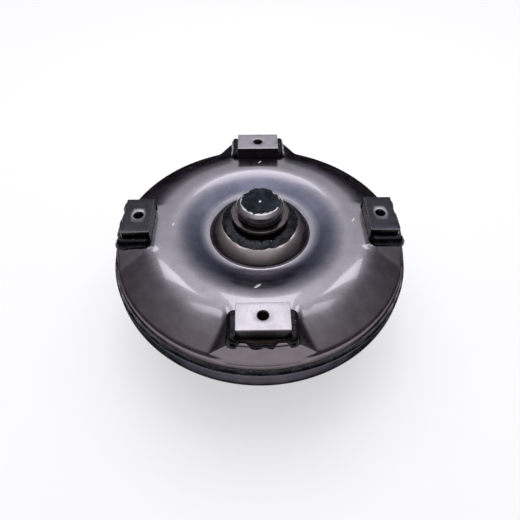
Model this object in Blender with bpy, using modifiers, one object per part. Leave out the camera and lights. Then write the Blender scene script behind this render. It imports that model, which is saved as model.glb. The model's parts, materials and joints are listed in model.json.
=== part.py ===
"""Torque converter of the welded three-element type, modelled piece by piece.

Sizes are in millimetres and become metres in the mesh. +Z points to the engine, and the origin lies
on the axis, at the end face of the impeller hub, which drives the oil pump.
"""
import math

import bmesh
import bpy
import numpy as np
from mathutils import Matrix

MM = 0.001
CLEARANCE = 0.3

# Impeller hub and shell
HUB_LENGTH = 68.0
HUB_RADIUS = 23.8
HUB_WALL = 3.6
HUB_FLANGE_RADIUS = 36.0
HUB_SLOT_WIDTH = 8.0
HUB_SLOT_DEPTH = 12.0
HUB_WELD_SIZE = 5.0
SHELL_WALL = 4.0
RIM_SEAT_WIDTH = 2.7
RIM_SEAT_HEIGHT = 7.0
RIM_STEP = 3.3
RIM_LIP_HEIGHT = 4.15
CLOSURE_WELD_HEIGHT = 5.75

# Oil torus, measured from its mid plane
TORUS_OUTER_RADIUS = 152.5
TORUS_INNER_RADIUS = 59.5
TORUS_DEPTH = 37.5
CORE_TO_OUTSIDE = 17.0
CORE_TO_INSIDE = 22.0
CORE_DEPTH = 21.0
CORE_WALL = 1.5
CORE_GAP = 0.6
SHELL_ANGLES = (1.5, 155.0)
CORE_ANGLES = (3.0, 148.0)
TORUS_STEPS = 4

# Blades of impeller and turbine
BLADE_THICKNESS = 1.2
BLADE_ROOT = 0.9
IMPELLER_BLADES = 21
IMPELLER_SWEEP = math.radians(17.0)
TURBINE_BLADES = 19
TURBINE_ENTRY_TURN = 0.8
TURBINE_EXIT_TURN = 1.7

# Turbine
TURBINE_RIM_GAP = 2.5
TURBINE_DEPTH = 39.0
TURBINE_WALL = 1.8
TURBINE_FOOT_RADIUS = 30.0
TURBINE_FOOT_HEIGHT = 3.4
TURBINE_PILOT_STEP = 5.7
TURBINE_HUB_FLANGE_SETBACK = 2.5
TURBINE_HUB_FLANGE_THICKNESS = 4.5
TURBINE_NOSE_HEIGHT = 12.3
INPUT_SPLINE_TEETH = 16
INPUT_SPLINE_ROOT_RADIUS = 14.6
INPUT_SPLINE_DEPTH = 1.4
RIVETS = 6
RIVET_RADIUS = 2.6
RIVET_HEAD_RADIUS = 4.4
RIVET_HEAD_HEIGHT = 1.6

# Thrust bearings and bronze washer
RACE_THICKNESS = 1.2
NEEDLE_DIAMETER = 3.0
NEEDLE_LENGTH = 6.5
CAGE_THICKNESS = 1.4
CAGE_INSET = 0.4
NEEDLES = 9
BEARING_BORE_RADIUS = 22.6
BEARING_RADIUS = 33.0
COVER_BEARING_BORE_RADIUS = 13.0
COVER_BEARING_RADIUS = 23.4
WASHER_THICKNESS = 2.0

# Stator wheel and one-way clutch
STATOR_HUB_STEP = 2.0
STATOR_END_WALL = 1.3
STATOR_ABOVE_CLUTCH = 2.1
SHROUD_HALF_HEIGHT = 9.3
SHROUD_INSET = 2.9
SHROUD_WALL = 2.4
STATOR_BLADES = 13
STATOR_CHORD = 25.0
STATOR_BLADE_THICKNESS = 4.6
STATOR_STAGGER = math.radians(34.0)
STATOR_CAMBER = 4.0
STATOR_BLADE_ROOT = 3.5
STATOR_BLADE_TIP = 0.4
CAM_WALL = 3.3
CAM_LAND_GAP = 1.1
CAM_RAMP_START_ROOM = 1.7
CAM_RAMP_END_ROOM = 0.5
CAM_LAND_SHARE = 0.2
CAM_POCKET_SHARE = 0.23
CAM_RAMP_END_SHARE = 0.97
ROLLERS = 8
ROLLER_RADIUS = 3.8
ROLLER_LENGTH = 12.0
ROLLER_PLACE = 0.74
SPRING_FOLDS = 2
SPRING_STRIP = 0.5
SPRING_HEIGHT = 3.6
SPRING_END_GAP = 1.0
INNER_RACE_RADIUS = 28.6
STATOR_SPLINE_TEETH = 18
STATOR_SPLINE_ROOT_RADIUS = 19.6
STATOR_SPLINE_DEPTH = 1.6
CAP_THICKNESS = 2.5
CAP_BORE_RADIUS = 21.5
SNAP_RING_WIDTH = 1.6
SNAP_RING_DEPTH = 3.2
SNAP_RING_BITE = 1.6
SNAP_RING_OPENING = math.radians(24.0)

# Front cover, heights from its crown, on which the pads sit
COVER_TO_TURBINE = 3.2
COVER_WALL = 3.8
DOME_FLAT_RADIUS = 37.5
DOME_RADIUS = 52.6
DOME_HEIGHT = 3.8
DOME_FOOT = -8.0
VALLEY_STEP = 1.2
VALLEY_DROP = -10.4
# The rise from valley to crown: shares of the way outwards, each with the share of depth still left
RISE_SHARES = ((0.24, 0.79), (0.43, 0.535), (0.62, 0.30), (0.81, 0.105), (1.0, 0.0))
CROWN_WIDTH = 9.0
SHOULDER_WIDTH = 4.5
SHOULDER_DROP = -17.0
SHOULDER_HEIGHT = 7.0
# From crown to shoulder the fall grows with this power of the distance
SLOPE_POWER = 1.5

# Drive pads
PADS = 4
PAD_INSET = 28.7
PAD_TO_CROWN = 21.5
PAD_WIDTH = 48.4
PAD_DEPTH = 28.6
PAD_HEIGHT = 14.2
PAD_CHAMFER = 0.9
PAD_HOLE_RADIUS = 4.4
PAD_HOLE_INWARD = 0.7
PAD_HOLE_CHAMFER = 0.8
PAD_WELD_WIDTH = 6.2
PAD_WELD_HEIGHT = 8.0
PAD_WELD_FULLNESS = 0.62
SEAT_SETBACK = 6.2
SEAT_EDGE_RADIUS = 3.0
SEAT_EDGE_DEGREES = (45.0, 15.0)
SEAT_HALF_ANGLE = 14.6
SEAT_CREASE_ANGLE = 18.4

# Pilot hub, heights from the cover's crown
PILOT_TOP = 32.1
PILOT_RADIUS = 23.9
PILOT_CHAMFER = 3.0
PILOT_FOOT = 19.6
UNDERCUT_DEPTH = 1.5
COLLAR_STEP = 3.0
COLLAR_BEVEL = 1.0
COLLAR_TOP = 17.0
COLLAR_FOOT = 9.3
NECK_STEP = 1.7
SPIGOT_RADIUS = 25.7
PILOT_BORE_RADIUS = 12.0
PILOT_BORE_TOP = 8.0
CENTRE_MARK_RADIUS = 2.2
PILOT_WELD_WIDTH = 13.3
PILOT_WELD_HEIGHT = 3.6

# Facets round the axis
COVER_EIGHTH_DEGREES = (0.0, 8.0, SEAT_HALF_ANGLE, SEAT_CREASE_ANGLE, 29.0, 37.0)
COVER_INSIDE_STEPS = (0, 1, 3, 5, 7, 9, 11, 13, 15, 17, 18, 19)
WELD_STEPS = 48
SHELL_STEPS = 36
TURBINE_STEPS = 32
CORE_STEPS = 30
PILOT_STEPS = 28
HUB_STEPS = 24
RING_STEPS = 20
ROLLER_STEPS = 8
STATOR_STEPS = 24
PAD_HOLE_STEPS = 12

# Radii that follow from the sizes above
cover_skirt_radius = TORUS_OUTER_RADIUS + RIM_SEAT_WIDTH
rim_radius = cover_skirt_radius + RIM_STEP
core_outer_radius = TORUS_OUTER_RADIUS - CORE_TO_OUTSIDE
core_inner_radius = TORUS_INNER_RADIUS + CORE_TO_INSIDE
turbine_rim_radius = TORUS_OUTER_RADIUS - TURBINE_RIM_GAP
turbine_hub_radius = TORUS_INNER_RADIUS - TURBINE_HUB_FLANGE_SETBACK
turbine_pilot_radius = TURBINE_FOOT_RADIUS + TURBINE_PILOT_STEP
rivet_circle_radius = (turbine_pilot_radius + turbine_hub_radius) / 2
hub_bore_radius = HUB_RADIUS - HUB_WALL
stator_hub_radius = TORUS_INNER_RADIUS + STATOR_HUB_STEP
shroud_inner_radius = core_inner_radius - SHROUD_INSET
roller_circle = INNER_RACE_RADIUS + CLEARANCE + ROLLER_RADIUS
cam_land_radius = INNER_RACE_RADIUS + CAM_LAND_GAP
cam_ramp_start_radius = roller_circle + ROLLER_RADIUS + CAM_RAMP_START_ROOM
cam_ramp_end_radius = roller_circle + ROLLER_RADIUS + CAM_RAMP_END_ROOM
cam_radius = cam_ramp_start_radius + CAM_WALL
valley_radius = DOME_RADIUS + VALLEY_STEP
pad_circle_radius = cover_skirt_radius - PAD_INSET
crown_end_radius = pad_circle_radius - PAD_TO_CROWN
crown_start_radius = crown_end_radius - CROWN_WIDTH
shoulder_radius = cover_skirt_radius - SHOULDER_WIDTH
seat_end_radius = cover_skirt_radius - SEAT_SETBACK
undercut_radius = PILOT_RADIUS - UNDERCUT_DEPTH
neck_radius = SPIGOT_RADIUS + NECK_STEP
collar_radius = neck_radius + COLLAR_STEP
cover_hole_radius = SPIGOT_RADIUS + 2 * CLEARANCE
input_spline_tip = INPUT_SPLINE_ROOT_RADIUS - INPUT_SPLINE_DEPTH
stator_spline_tip = STATOR_SPLINE_ROOT_RADIUS - STATOR_SPLINE_DEPTH

# Heights that follow from the sizes above
shell_flat = HUB_LENGTH + SHELL_WALL
rear_bearing = shell_flat + CLEARANCE
bearing_height = 2 * RACE_THICKNESS + NEEDLE_DIAMETER + 2 * CLEARANCE
rear_cap = rear_bearing + bearing_height + CLEARANCE
rear_snap_ring = rear_cap - CLEARANCE - SNAP_RING_WIDTH
clutch_floor = rear_cap + CAP_THICKNESS + CLEARANCE
front_cap = clutch_floor + ROLLER_LENGTH + CLEARANCE
washer_floor = front_cap + CAP_THICKNESS + CLEARANCE
midplane = clutch_floor + ROLLER_LENGTH / 2 + STATOR_ABOVE_CLUTCH
rim_top = midplane + RIM_SEAT_HEIGHT + RIM_LIP_HEIGHT
skirt_foot = midplane + RIM_SEAT_HEIGHT + CLEARANCE
crown = midplane + TURBINE_DEPTH + COVER_TO_TURBINE + COVER_WALL
turbine_foot = washer_floor + WASHER_THICKNESS + CLEARANCE
turbine_flange = turbine_foot + TURBINE_FOOT_HEIGHT
hub_flange = turbine_flange + TURBINE_WALL + CLEARANCE
hub_flange_top = hub_flange + TURBINE_HUB_FLANGE_THICKNESS
turbine_nose = hub_flange_top + TURBINE_NOSE_HEIGHT
cover_bearing = turbine_nose + CLEARANCE
pilot_floor = cover_bearing + bearing_height + CLEARANCE

# The engine turns the converter clockwise seen from +Z, and the ramps close that way round
lobe_pitch = -2 * math.pi / ROLLERS


def finish(name, colour, roughness, metallic):
    """A plain Principled material."""
    material = bpy.data.materials.new(name)
    material.use_nodes = True
    shader = material.node_tree.nodes["Principled BSDF"]
    shader.inputs["Base Color"].default_value = (*colour, 1.0)
    shader.inputs["Roughness"].default_value = roughness
    shader.inputs["Metallic"].default_value = metallic
    material.diffuse_color = (*colour, 1.0)
    return material


def add_part(name, mesh, material):
    """An object in the converter's collection, shaded smooth up to sharp edges."""
    piece = bpy.data.objects.new(name, mesh)
    parts.objects.link(piece)
    mesh.materials.append(material)
    if mesh.polygons:
        mesh.shade_smooth()
        mesh.set_sharp_from_angle(angle=math.radians(35))
    return piece


def add_cutter(name, mesh):
    """A guide solid for a Boolean, kept out of the model."""
    tool = bpy.data.objects.new(name, mesh)
    cutters.objects.link(tool)
    tool.hide_render = True
    tool.display_type = "WIRE"
    return tool


def combine(piece, tool, operation):
    """Cuts the tool from the piece, or joins it on."""
    modifier = piece.modifiers.new(tool.name, "BOOLEAN")
    modifier.operation = operation
    modifier.object = tool


def new_mesh(name, points, faces, edges=()):
    mesh = bpy.data.meshes.new(name)
    mesh.from_pydata([tuple(MM * value for value in point) for point in points], list(edges), list(faces))
    return mesh


def face_outwards(mesh):
    """Welds loose caps on, and turns every face outwards."""
    solid = bmesh.new()
    solid.from_mesh(mesh)
    bmesh.ops.remove_doubles(solid, verts=solid.verts, dist=0.000001)
    bmesh.ops.recalc_face_normals(solid, faces=solid.faces)
    if solid.calc_volume(signed=True) < 0.0:
        bmesh.ops.reverse_faces(solid, faces=solid.faces)
    solid.to_mesh(mesh)
    solid.free()


def turn(piece, steps):
    """Turns the piece's section once round the Z axis."""
    screw = piece.modifiers.new("Turn", "SCREW")
    screw.steps = steps
    screw.render_steps = steps
    screw.use_merge_vertices = True
    screw.merge_threshold = 0.00001


def turned(name, section, steps, material, spin=0.0):
    """A ring or disc from a section of (radius, height) points that runs down its outer side."""
    points = [(radius * math.cos(spin), radius * math.sin(spin), height) for radius, height in section]
    edges = [(index, index + 1) for index in range(len(section) - 1)]
    if section[0][0] > 0.0:
        edges.append((len(section) - 1, 0))
    mesh = new_mesh(name, points, [], edges)
    piece = add_part(name, mesh, material) if material else add_cutter(name, mesh)
    turn(piece, steps)
    return piece


def washer(name, floor, top, bore, radius, steps, material):
    """A flat ring."""
    return turned(name, [(bore, top), (radius, top), (radius, floor), (bore, floor)], steps, material)


def prism(name, loops, floor, top, material):
    """A flat plate between two heights, filled between its outer and inner loops of (x, y) points."""
    outline = bpy.data.curves.new(name, "CURVE")
    outline.dimensions = "2D"
    outline.fill_mode = "BOTH"
    outline.extrude = MM * (top - floor) / 2
    for loop in loops:
        spline = outline.splines.new("POLY")
        spline.points.add(len(loop) - 1)
        spline.use_cyclic_u = True
        for point, (x, y) in zip(spline.points, loop):
            point.co = (MM * x, MM * y, 0.0, 1.0)
    guide = bpy.data.objects.new(name + "_outline", outline)
    cutters.objects.link(guide)
    mesh = bpy.data.meshes.new_from_object(guide.evaluated_get(bpy.context.evaluated_depsgraph_get()))
    bpy.data.objects.remove(guide)
    mesh.transform(Matrix.Translation((0.0, 0.0, MM * (floor + top) / 2)))
    face_outwards(mesh)
    return add_part(name, mesh, material) if material else add_cutter(name, mesh)


def polar(radius, angle):
    return radius * math.cos(angle), radius * math.sin(angle)


def circle(radius, steps):
    return [polar(radius, 2 * math.pi * index / steps) for index in range(steps)]


def outside(radius, steps):
    """The corner radius of a polygon whose flats clear a round piece of this radius."""
    return (radius + CLEARANCE) / math.cos(math.pi / steps)


def arc(centre, radii, first, last, steps):
    """Points on an ellipse in the section plane, angles in degrees from +R towards +Z."""
    angles = np.radians(np.linspace(first, last, steps + 1))
    return [(centre[0] + radii[0] * math.cos(a), centre[1] + radii[1] * math.sin(a)) for a in angles]


def offset_section(section, distance):
    """Moves an open section sideways, to the right of its direction of travel."""
    line = np.array(section)
    direction = np.diff(line, axis=0)
    direction /= np.linalg.norm(direction, axis=1)[:, None]
    sideways = np.stack([direction[:, 1], -direction[:, 0]], axis=1)
    before = np.vstack([sideways[:1], sideways])
    after = np.vstack([sideways, sideways[-1:]])
    mean = before + after
    mean /= np.linalg.norm(mean, axis=1)[:, None]
    stretch = distance / np.maximum((mean * after).sum(axis=1), 0.35)
    return [tuple(point) for point in line + mean * stretch[:, None]]


def ellipse_of(inner, outer):
    """Centre radius and half width of a torus section between two radii."""
    return (inner + outer) / 2, (outer - inner) / 2


def torus_point(ring, depth, angle, side):
    """A point of a torus section at an angle from its outer rim, above or below the mid plane."""
    centre, half_width = ring
    return centre + half_width * math.cos(angle), midplane + side * depth * math.sin(angle)


def torus_angles(limits):
    return np.radians(np.linspace(*limits, TORUS_STEPS + 1))


# Pressed front cover

def cover_outside(on_seat):
    """The cover's outer surface from hole to rim, on a pad's centre line or between two pads."""
    dome = arc((DOME_FLAT_RADIUS, DOME_FOOT), (DOME_RADIUS - DOME_FLAT_RADIUS, DOME_HEIGHT - DOME_FOOT),
               90.0, 0.0, 3)
    rise = [(valley_radius + along * (crown_start_radius - valley_radius), VALLEY_DROP * depth_left)
            for along, depth_left in RISE_SHARES]
    if on_seat:
        flat_end = seat_end_radius - SEAT_EDGE_RADIUS
        outer = [(radius, 0.0) for radius in np.linspace(crown_end_radius, flat_end, 4)]
        edge = arc((flat_end, -SEAT_EDGE_RADIUS), (SEAT_EDGE_RADIUS, SEAT_EDGE_RADIUS),
                   *SEAT_EDGE_DEGREES, 1)
        outer += edge + [((edge[-1][0] + cover_skirt_radius) / 2, SHOULDER_DROP)]
    else:
        outer = [(crown_end_radius + along * (shoulder_radius - crown_end_radius),
                  SHOULDER_DROP * along ** SLOPE_POWER) for along in np.linspace(0.0, 1.0, 6)]
        outer += [((shoulder_radius + 2 * cover_skirt_radius) / 3, SHOULDER_DROP - SHOULDER_HEIGHT / 3)]
    skirt_top = SHOULDER_DROP - SHOULDER_HEIGHT
    skirt = [(cover_skirt_radius, height) for height in (skirt_top, skirt_foot - crown)]
    valley = [(valley_radius, VALLEY_DROP)]
    return [(cover_hole_radius, DOME_HEIGHT)] + dome + valley + rise + outer + skirt


def cover_section(on_seat):
    """Closed wall section: the outer surface out to the rim, and fewer points back inside."""
    top = cover_outside(on_seat)
    inside = offset_section(top, COVER_WALL)
    inside[0] = (cover_hole_radius, inside[0][1])
    inside[-1] = (inside[-1][0], top[-1][1])
    kept = [inside[index] for index in COVER_INSIDE_STEPS]
    return np.array(top + kept[::-1])


def front_cover():
    """A loft round the axis between two sections: pad seats at the quarters, the slope between them."""
    eighth = list(COVER_EIGHTH_DEGREES)
    pitch = 360.0 / PADS
    between = eighth + [pitch / 2] + [pitch - angle for angle in eighth[:0:-1]]
    angles = [pad * pitch + angle for pad in range(PADS) for angle in between]
    slope = cover_section(False)
    seat = cover_section(True)
    rows = len(slope)
    points = []
    for angle in angles:
        off_centre = abs((angle + pitch / 2) % pitch - pitch / 2)
        share = np.clip((SEAT_CREASE_ANGLE - off_centre) / (SEAT_CREASE_ANGLE - SEAT_HALF_ANGLE), 0.0, 1.0)
        section = slope + share * (seat - slope)
        around = math.radians(angle)
        points += [(r * math.cos(around), r * math.sin(around), crown + z) for r, z in section]
    columns = len(angles)
    faces = [(column * rows + row, column * rows + (row + 1) % rows,
              (column + 1) % columns * rows + (row + 1) % rows, (column + 1) % columns * rows + row)
             for column in range(columns) for row in range(rows)]
    return add_part("front_cover", new_mesh("front_cover", points, faces), pressed_steel)


def pilot_hub():
    """Stepped pilot with an undercut, a collar, a spigot through the cover and a blind bore below."""
    chamfer_inner = PILOT_RADIUS - 1.2 * PILOT_CHAMFER
    section = [(0.0, PILOT_TOP - CENTRE_MARK_RADIUS), (CENTRE_MARK_RADIUS, PILOT_TOP),
               (chamfer_inner, PILOT_TOP), (PILOT_RADIUS, PILOT_TOP - PILOT_CHAMFER),
               (PILOT_RADIUS, PILOT_FOOT), (undercut_radius, PILOT_FOOT - 0.9),
               (undercut_radius, COLLAR_TOP + 0.5), (collar_radius - COLLAR_BEVEL, COLLAR_TOP),
               (collar_radius, COLLAR_TOP - COLLAR_BEVEL), (collar_radius, COLLAR_FOOT + COLLAR_BEVEL),
               (collar_radius - COLLAR_BEVEL, COLLAR_FOOT), (neck_radius, COLLAR_FOOT),
               (neck_radius, DOME_HEIGHT + CLEARANCE), (SPIGOT_RADIUS, DOME_HEIGHT + CLEARANCE),
               (SPIGOT_RADIUS, pilot_floor - crown), (PILOT_BORE_RADIUS, pilot_floor - crown),
               (PILOT_BORE_RADIUS, PILOT_BORE_TOP - 3.0), (0.0, PILOT_BORE_TOP)]
    return turned("pilot_hub", [(r, crown + z) for r, z in section], PILOT_STEPS, turned_steel)


def pilot_weld():
    """Broad fillet between the pilot's neck and the dome."""
    bore = outside(neck_radius, PILOT_STEPS)
    floor = crown + DOME_HEIGHT + CLEARANCE
    toe = neck_radius + PILOT_WELD_WIDTH
    bead = [(bore + out * (toe - bore), floor + up * PILOT_WELD_HEIGHT)
            for out, up in ((0.0, 1.0), (0.4, 0.8), (0.8, 0.5), (1.0, 0.0), (0.0, 0.0))]
    return turned("pilot_weld", bead, PILOT_STEPS, weld_metal)


# Drive pads and welds

def settled(piece):
    """The mesh of a piece with its modifiers applied."""
    evaluated = piece.evaluated_get(bpy.context.evaluated_depsgraph_get())
    return bpy.data.meshes.new_from_object(evaluated)


def mounting_pads():
    """Four chamfered blocks, each with a countersunk tapped hole a little inward of its middle."""
    solid = bmesh.new()
    bmesh.ops.create_cube(solid, size=MM)
    place = Matrix.Translation((MM * pad_circle_radius, 0.0, MM * (crown + CLEARANCE + PAD_HEIGHT / 2)))
    solid.transform(place @ Matrix.Diagonal((PAD_DEPTH, PAD_WIDTH, PAD_HEIGHT, 1.0)))
    mesh = bpy.data.meshes.new("mounting_pad")
    solid.to_mesh(mesh)
    solid.free()
    block = add_cutter("mounting_pad_blank", mesh)
    bevel = block.modifiers.new("Edges", "BEVEL")
    bevel.width = MM * PAD_CHAMFER
    bevel.segments = 1
    top = crown + CLEARANCE + PAD_HEIGHT
    hole_section = [(0.0, top + 1.0), (PAD_HOLE_RADIUS + PAD_HOLE_CHAMFER + 1.0, top + 1.0),
                    (PAD_HOLE_RADIUS, top - PAD_HOLE_CHAMFER), (PAD_HOLE_RADIUS, crown - 1.0),
                    (0.0, crown - 1.0)]
    hole = turned("pad_hole", hole_section, PAD_HOLE_STEPS, None)
    hole.location.x = MM * (pad_circle_radius - PAD_HOLE_INWARD)
    combine(block, hole, "DIFFERENCE")
    shared = settled(block)
    for index in range(PADS):
        pad = add_part(f"mounting_pad_{index + 1}", shared, milled_steel)
        pad.rotation_euler.z = 2 * math.pi * index / PADS


def pad_welds():
    """Heavy fillets along both ends and the outer side of each pad, round its two outer corners."""
    half = PAD_WIDTH / 2
    inner = pad_circle_radius - PAD_DEPTH / 2
    outer = pad_circle_radius + PAD_DEPTH / 2
    stations = [((inner + PAD_CHAMFER, -half), -90), ((outer, -half), -90), ((outer, -half), -45),
                ((outer, -half), 0), ((outer, half), 0), ((outer, half), 45), ((outer, half), 90),
                ((inner + PAD_CHAMFER, half), 90)]
    floor = crown + CLEARANCE
    bead = [(0.0, PAD_WELD_HEIGHT),
            (PAD_WELD_FULLNESS * PAD_WELD_WIDTH, PAD_WELD_FULLNESS * PAD_WELD_HEIGHT),
            (PAD_WELD_WIDTH, 0.0), (0.0, 0.0)]
    points = []
    for (x, y), heading in stations:
        across = polar(1.0, math.radians(heading))
        points += [(x + across[0] * (CLEARANCE + out), y + across[1] * (CLEARANCE + out), floor + up)
                   for out, up in bead]
    sides = len(bead)
    faces = [(row * sides + side, row * sides + (side + 1) % sides,
              (row + 1) * sides + (side + 1) % sides, (row + 1) * sides + side)
             for row in range(len(stations) - 1) for side in range(sides)]
    last = (len(stations) - 1) * sides
    faces += [tuple(range(sides))[::-1], tuple(range(last, last + sides))]
    shared = new_mesh("pad_weld", points, faces)
    face_outwards(shared)
    for index in range(PADS):
        weld = add_part(f"pad_weld_{index + 1}", shared, weld_metal)
        weld.rotation_euler.z = 2 * math.pi * index / PADS


def closure_weld():
    """Hollow fillet in the corner between the cover's skirt and the top of the impeller's rim."""
    bore = outside(cover_skirt_radius, WELD_STEPS)
    floor = rim_top + CLEARANCE
    top = floor + CLOSURE_WELD_HEIGHT
    toe = rim_radius - CLEARANCE
    section = [(bore, top), (bore + 0.4 * (toe - bore), floor + 0.35 * (top - floor)), (toe, floor),
               (bore, floor)]
    return turned("closure_weld", section, WELD_STEPS, weld_metal)


# Impeller

def blade_sheets(name, count, side, ring, depth, turn_at):
    """Thin ruled blades from the core ring to a little way into the shell, all round the axis."""
    core = ellipse_of(core_inner_radius - CORE_GAP, core_outer_radius + CORE_GAP)
    points = []
    faces = []
    for blade in range(count):
        start = len(points)
        shell_angles = torus_angles(SHELL_ANGLES)
        core_angles = torus_angles(CORE_ANGLES)
        for station in range(TORUS_STEPS + 1):
            around = 2 * math.pi * blade / count + turn_at(station / TORUS_STEPS)
            for centre_and_width, reach, angle in (
                    (core, CORE_DEPTH + CORE_GAP, core_angles[station]),
                    ((ring[0], ring[1] + BLADE_ROOT), depth + BLADE_ROOT, shell_angles[station])):
                radius, height = torus_point(centre_and_width, reach, angle, side)
                points.append((*polar(radius, around), height))
        faces += [(start + 2 * row, start + 2 * row + 1, start + 2 * row + 3, start + 2 * row + 2)
                  for row in range(TORUS_STEPS)]
    tool = add_cutter(name, new_mesh(name, points, faces))
    sheet = tool.modifiers.new("Thickness", "SOLIDIFY")
    sheet.thickness = MM * BLADE_THICKNESS
    sheet.offset = 0.0
    return tool


def impeller_sweep(share):
    """Blades leave the rim radially and lean back towards the inlet."""
    return -IMPELLER_SWEEP * share ** 2


def impeller_shell():
    """Bowl with a flat floor round the hub, a stepped rim for the cover, and blades brazed inside."""
    fluid = ellipse_of(TORUS_INNER_RADIUS, TORUS_OUTER_RADIUS)
    outer = ellipse_of(TORUS_INNER_RADIUS - 1.25 * SHELL_WALL, rim_radius)
    hole = outside(HUB_FLANGE_RADIUS, SHELL_STEPS)
    lip = outside(cover_skirt_radius, SHELL_STEPS)
    bowl = [torus_point(outer, TORUS_DEPTH + SHELL_WALL, math.radians(angle), -1)
            for angle in np.linspace(0.0, 150.0, TORUS_STEPS + 2)]
    passage = [torus_point(fluid, TORUS_DEPTH, angle, -1) for angle in torus_angles(SHELL_ANGLES)]
    section = [(lip, rim_top), (rim_radius, rim_top)] + bowl
    section += [(bowl[-1][0] - SHELL_WALL, HUB_LENGTH), (hole, HUB_LENGTH), (hole, shell_flat),
                (TORUS_INNER_RADIUS, shell_flat)]
    section += passage[::-1]
    section += [(TORUS_OUTER_RADIUS, midplane + RIM_SEAT_HEIGHT), (lip, midplane + RIM_SEAT_HEIGHT)]
    shell = turned("impeller_shell", section, SHELL_STEPS, pressed_steel)
    blades = blade_sheets("impeller_blades", IMPELLER_BLADES, -1, fluid, TORUS_DEPTH, impeller_sweep)
    combine(shell, blades, "UNION")
    return shell


def core_ring(name, side):
    """Half of the torus's hollow core, a thin pressed ring that carries the blades' inner edges."""
    ring = ellipse_of(core_inner_radius, core_outer_radius)
    inside = (ring[0], ring[1] - CORE_WALL)
    angles = torus_angles(CORE_ANGLES)
    skin = [torus_point(ring, CORE_DEPTH, angle, side) for angle in angles]
    back = [torus_point(inside, CORE_DEPTH - CORE_WALL, angle, side) for angle in angles]
    section = skin + back[::-1] if side < 0 else skin[::-1] + back
    return turned(name, section, CORE_STEPS, sheet_steel)


def impeller_hub():
    """Tube with a welding flange, open right through, and two slots that drive the pump."""
    flange_foot = HUB_LENGTH - HUB_WELD_SIZE
    section = [(hub_bore_radius, shell_flat), (HUB_FLANGE_RADIUS, shell_flat),
               (HUB_FLANGE_RADIUS, flange_foot), (HUB_RADIUS + 4.0, flange_foot),
               (HUB_RADIUS, flange_foot - 4.0), (HUB_RADIUS, 1.2), (HUB_RADIUS - 1.2, 0.0),
               (hub_bore_radius, 0.0)]
    hub = turned("impeller_hub", section, HUB_STEPS, turned_steel)
    solid = bmesh.new()
    bmesh.ops.create_cube(solid, size=MM)
    size = (3 * HUB_RADIUS, HUB_SLOT_WIDTH, 2 * HUB_SLOT_DEPTH)
    solid.transform(Matrix.Diagonal((*size, 1.0)))
    mesh = bpy.data.meshes.new("hub_slots")
    solid.to_mesh(mesh)
    solid.free()
    combine(hub, add_cutter("hub_slots", mesh), "DIFFERENCE")
    return hub


def impeller_hub_weld():
    bore = outside(HUB_FLANGE_RADIUS, HUB_STEPS)
    top = HUB_LENGTH - CLEARANCE
    bead = [(bore + out * HUB_WELD_SIZE, top - down * HUB_WELD_SIZE)
            for out, down in ((0.0, 0.0), (1.0, 0.0), (0.6, 0.6), (0.0, 0.9))]
    return turned("impeller_hub_weld", bead, HUB_STEPS, weld_metal)


# Thrust bearings

def needle_cage(name, floor, bore, radius):
    """Flat cage with its needles lying radially, proud of both faces."""
    middle = floor + NEEDLE_DIAMETER / 2
    cage = washer(name, middle - CAGE_THICKNESS / 2, middle + CAGE_THICKNESS / 2, bore, radius, RING_STEPS,
                  bearing_steel)
    solid = bmesh.new()
    for needle in range(NEEDLES):
        place = (Matrix.Rotation(2 * math.pi * (needle + 0.5) / NEEDLES, 4, "Z")
                 @ Matrix.Translation((MM * (bore + radius) / 2, 0.0, MM * middle))
                 @ Matrix.Rotation(math.pi / 2, 4, "Y"))
        bmesh.ops.create_cone(solid, cap_ends=True, segments=6, radius1=MM * NEEDLE_DIAMETER / 2,
                              radius2=MM * NEEDLE_DIAMETER / 2, depth=MM * NEEDLE_LENGTH, matrix=place)
    mesh = bpy.data.meshes.new(name + "_needles")
    solid.to_mesh(mesh)
    solid.free()
    combine(cage, add_cutter(name + "_needles", mesh), "UNION")
    return cage


def thrust_bearing(prefix, floor, bore, radius):
    """Rear race, needle cage and front race, each a clearance above the last."""
    cage_floor = floor + RACE_THICKNESS + CLEARANCE
    front_floor = cage_floor + NEEDLE_DIAMETER + CLEARANCE
    washer(prefix + "_rear_race", floor, floor + RACE_THICKNESS, bore, radius, RING_STEPS, bearing_steel)
    needle_cage(prefix + "_cage", cage_floor, bore + CAGE_INSET, radius - CAGE_INSET)
    washer(prefix + "_front_race", front_floor, front_floor + RACE_THICKNESS, bore, radius, RING_STEPS,
           bearing_steel)


# Stator and one-way clutch

def airfoil():
    """Blade section as (tangential, axial) points: round nose up, curved back, thin tail."""
    points = []
    back = ((0.07, 0.62), (0.3, 1.0), (0.65, 0.68))
    for share, thick in ((0.0, 0.0), *back, (1.0, 0.0), *[(share, -thick) for share, thick in back[::-1]]):
        along = (0.5 - share) * STATOR_CHORD
        across = STATOR_CAMBER * 4 * share * (1 - share) + thick * STATOR_BLADE_THICKNESS / 2
        cosine = math.cos(STATOR_STAGGER)
        sine = math.sin(STATOR_STAGGER)
        points.append((across * cosine + along * sine, along * cosine - across * sine))
    return points


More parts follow.
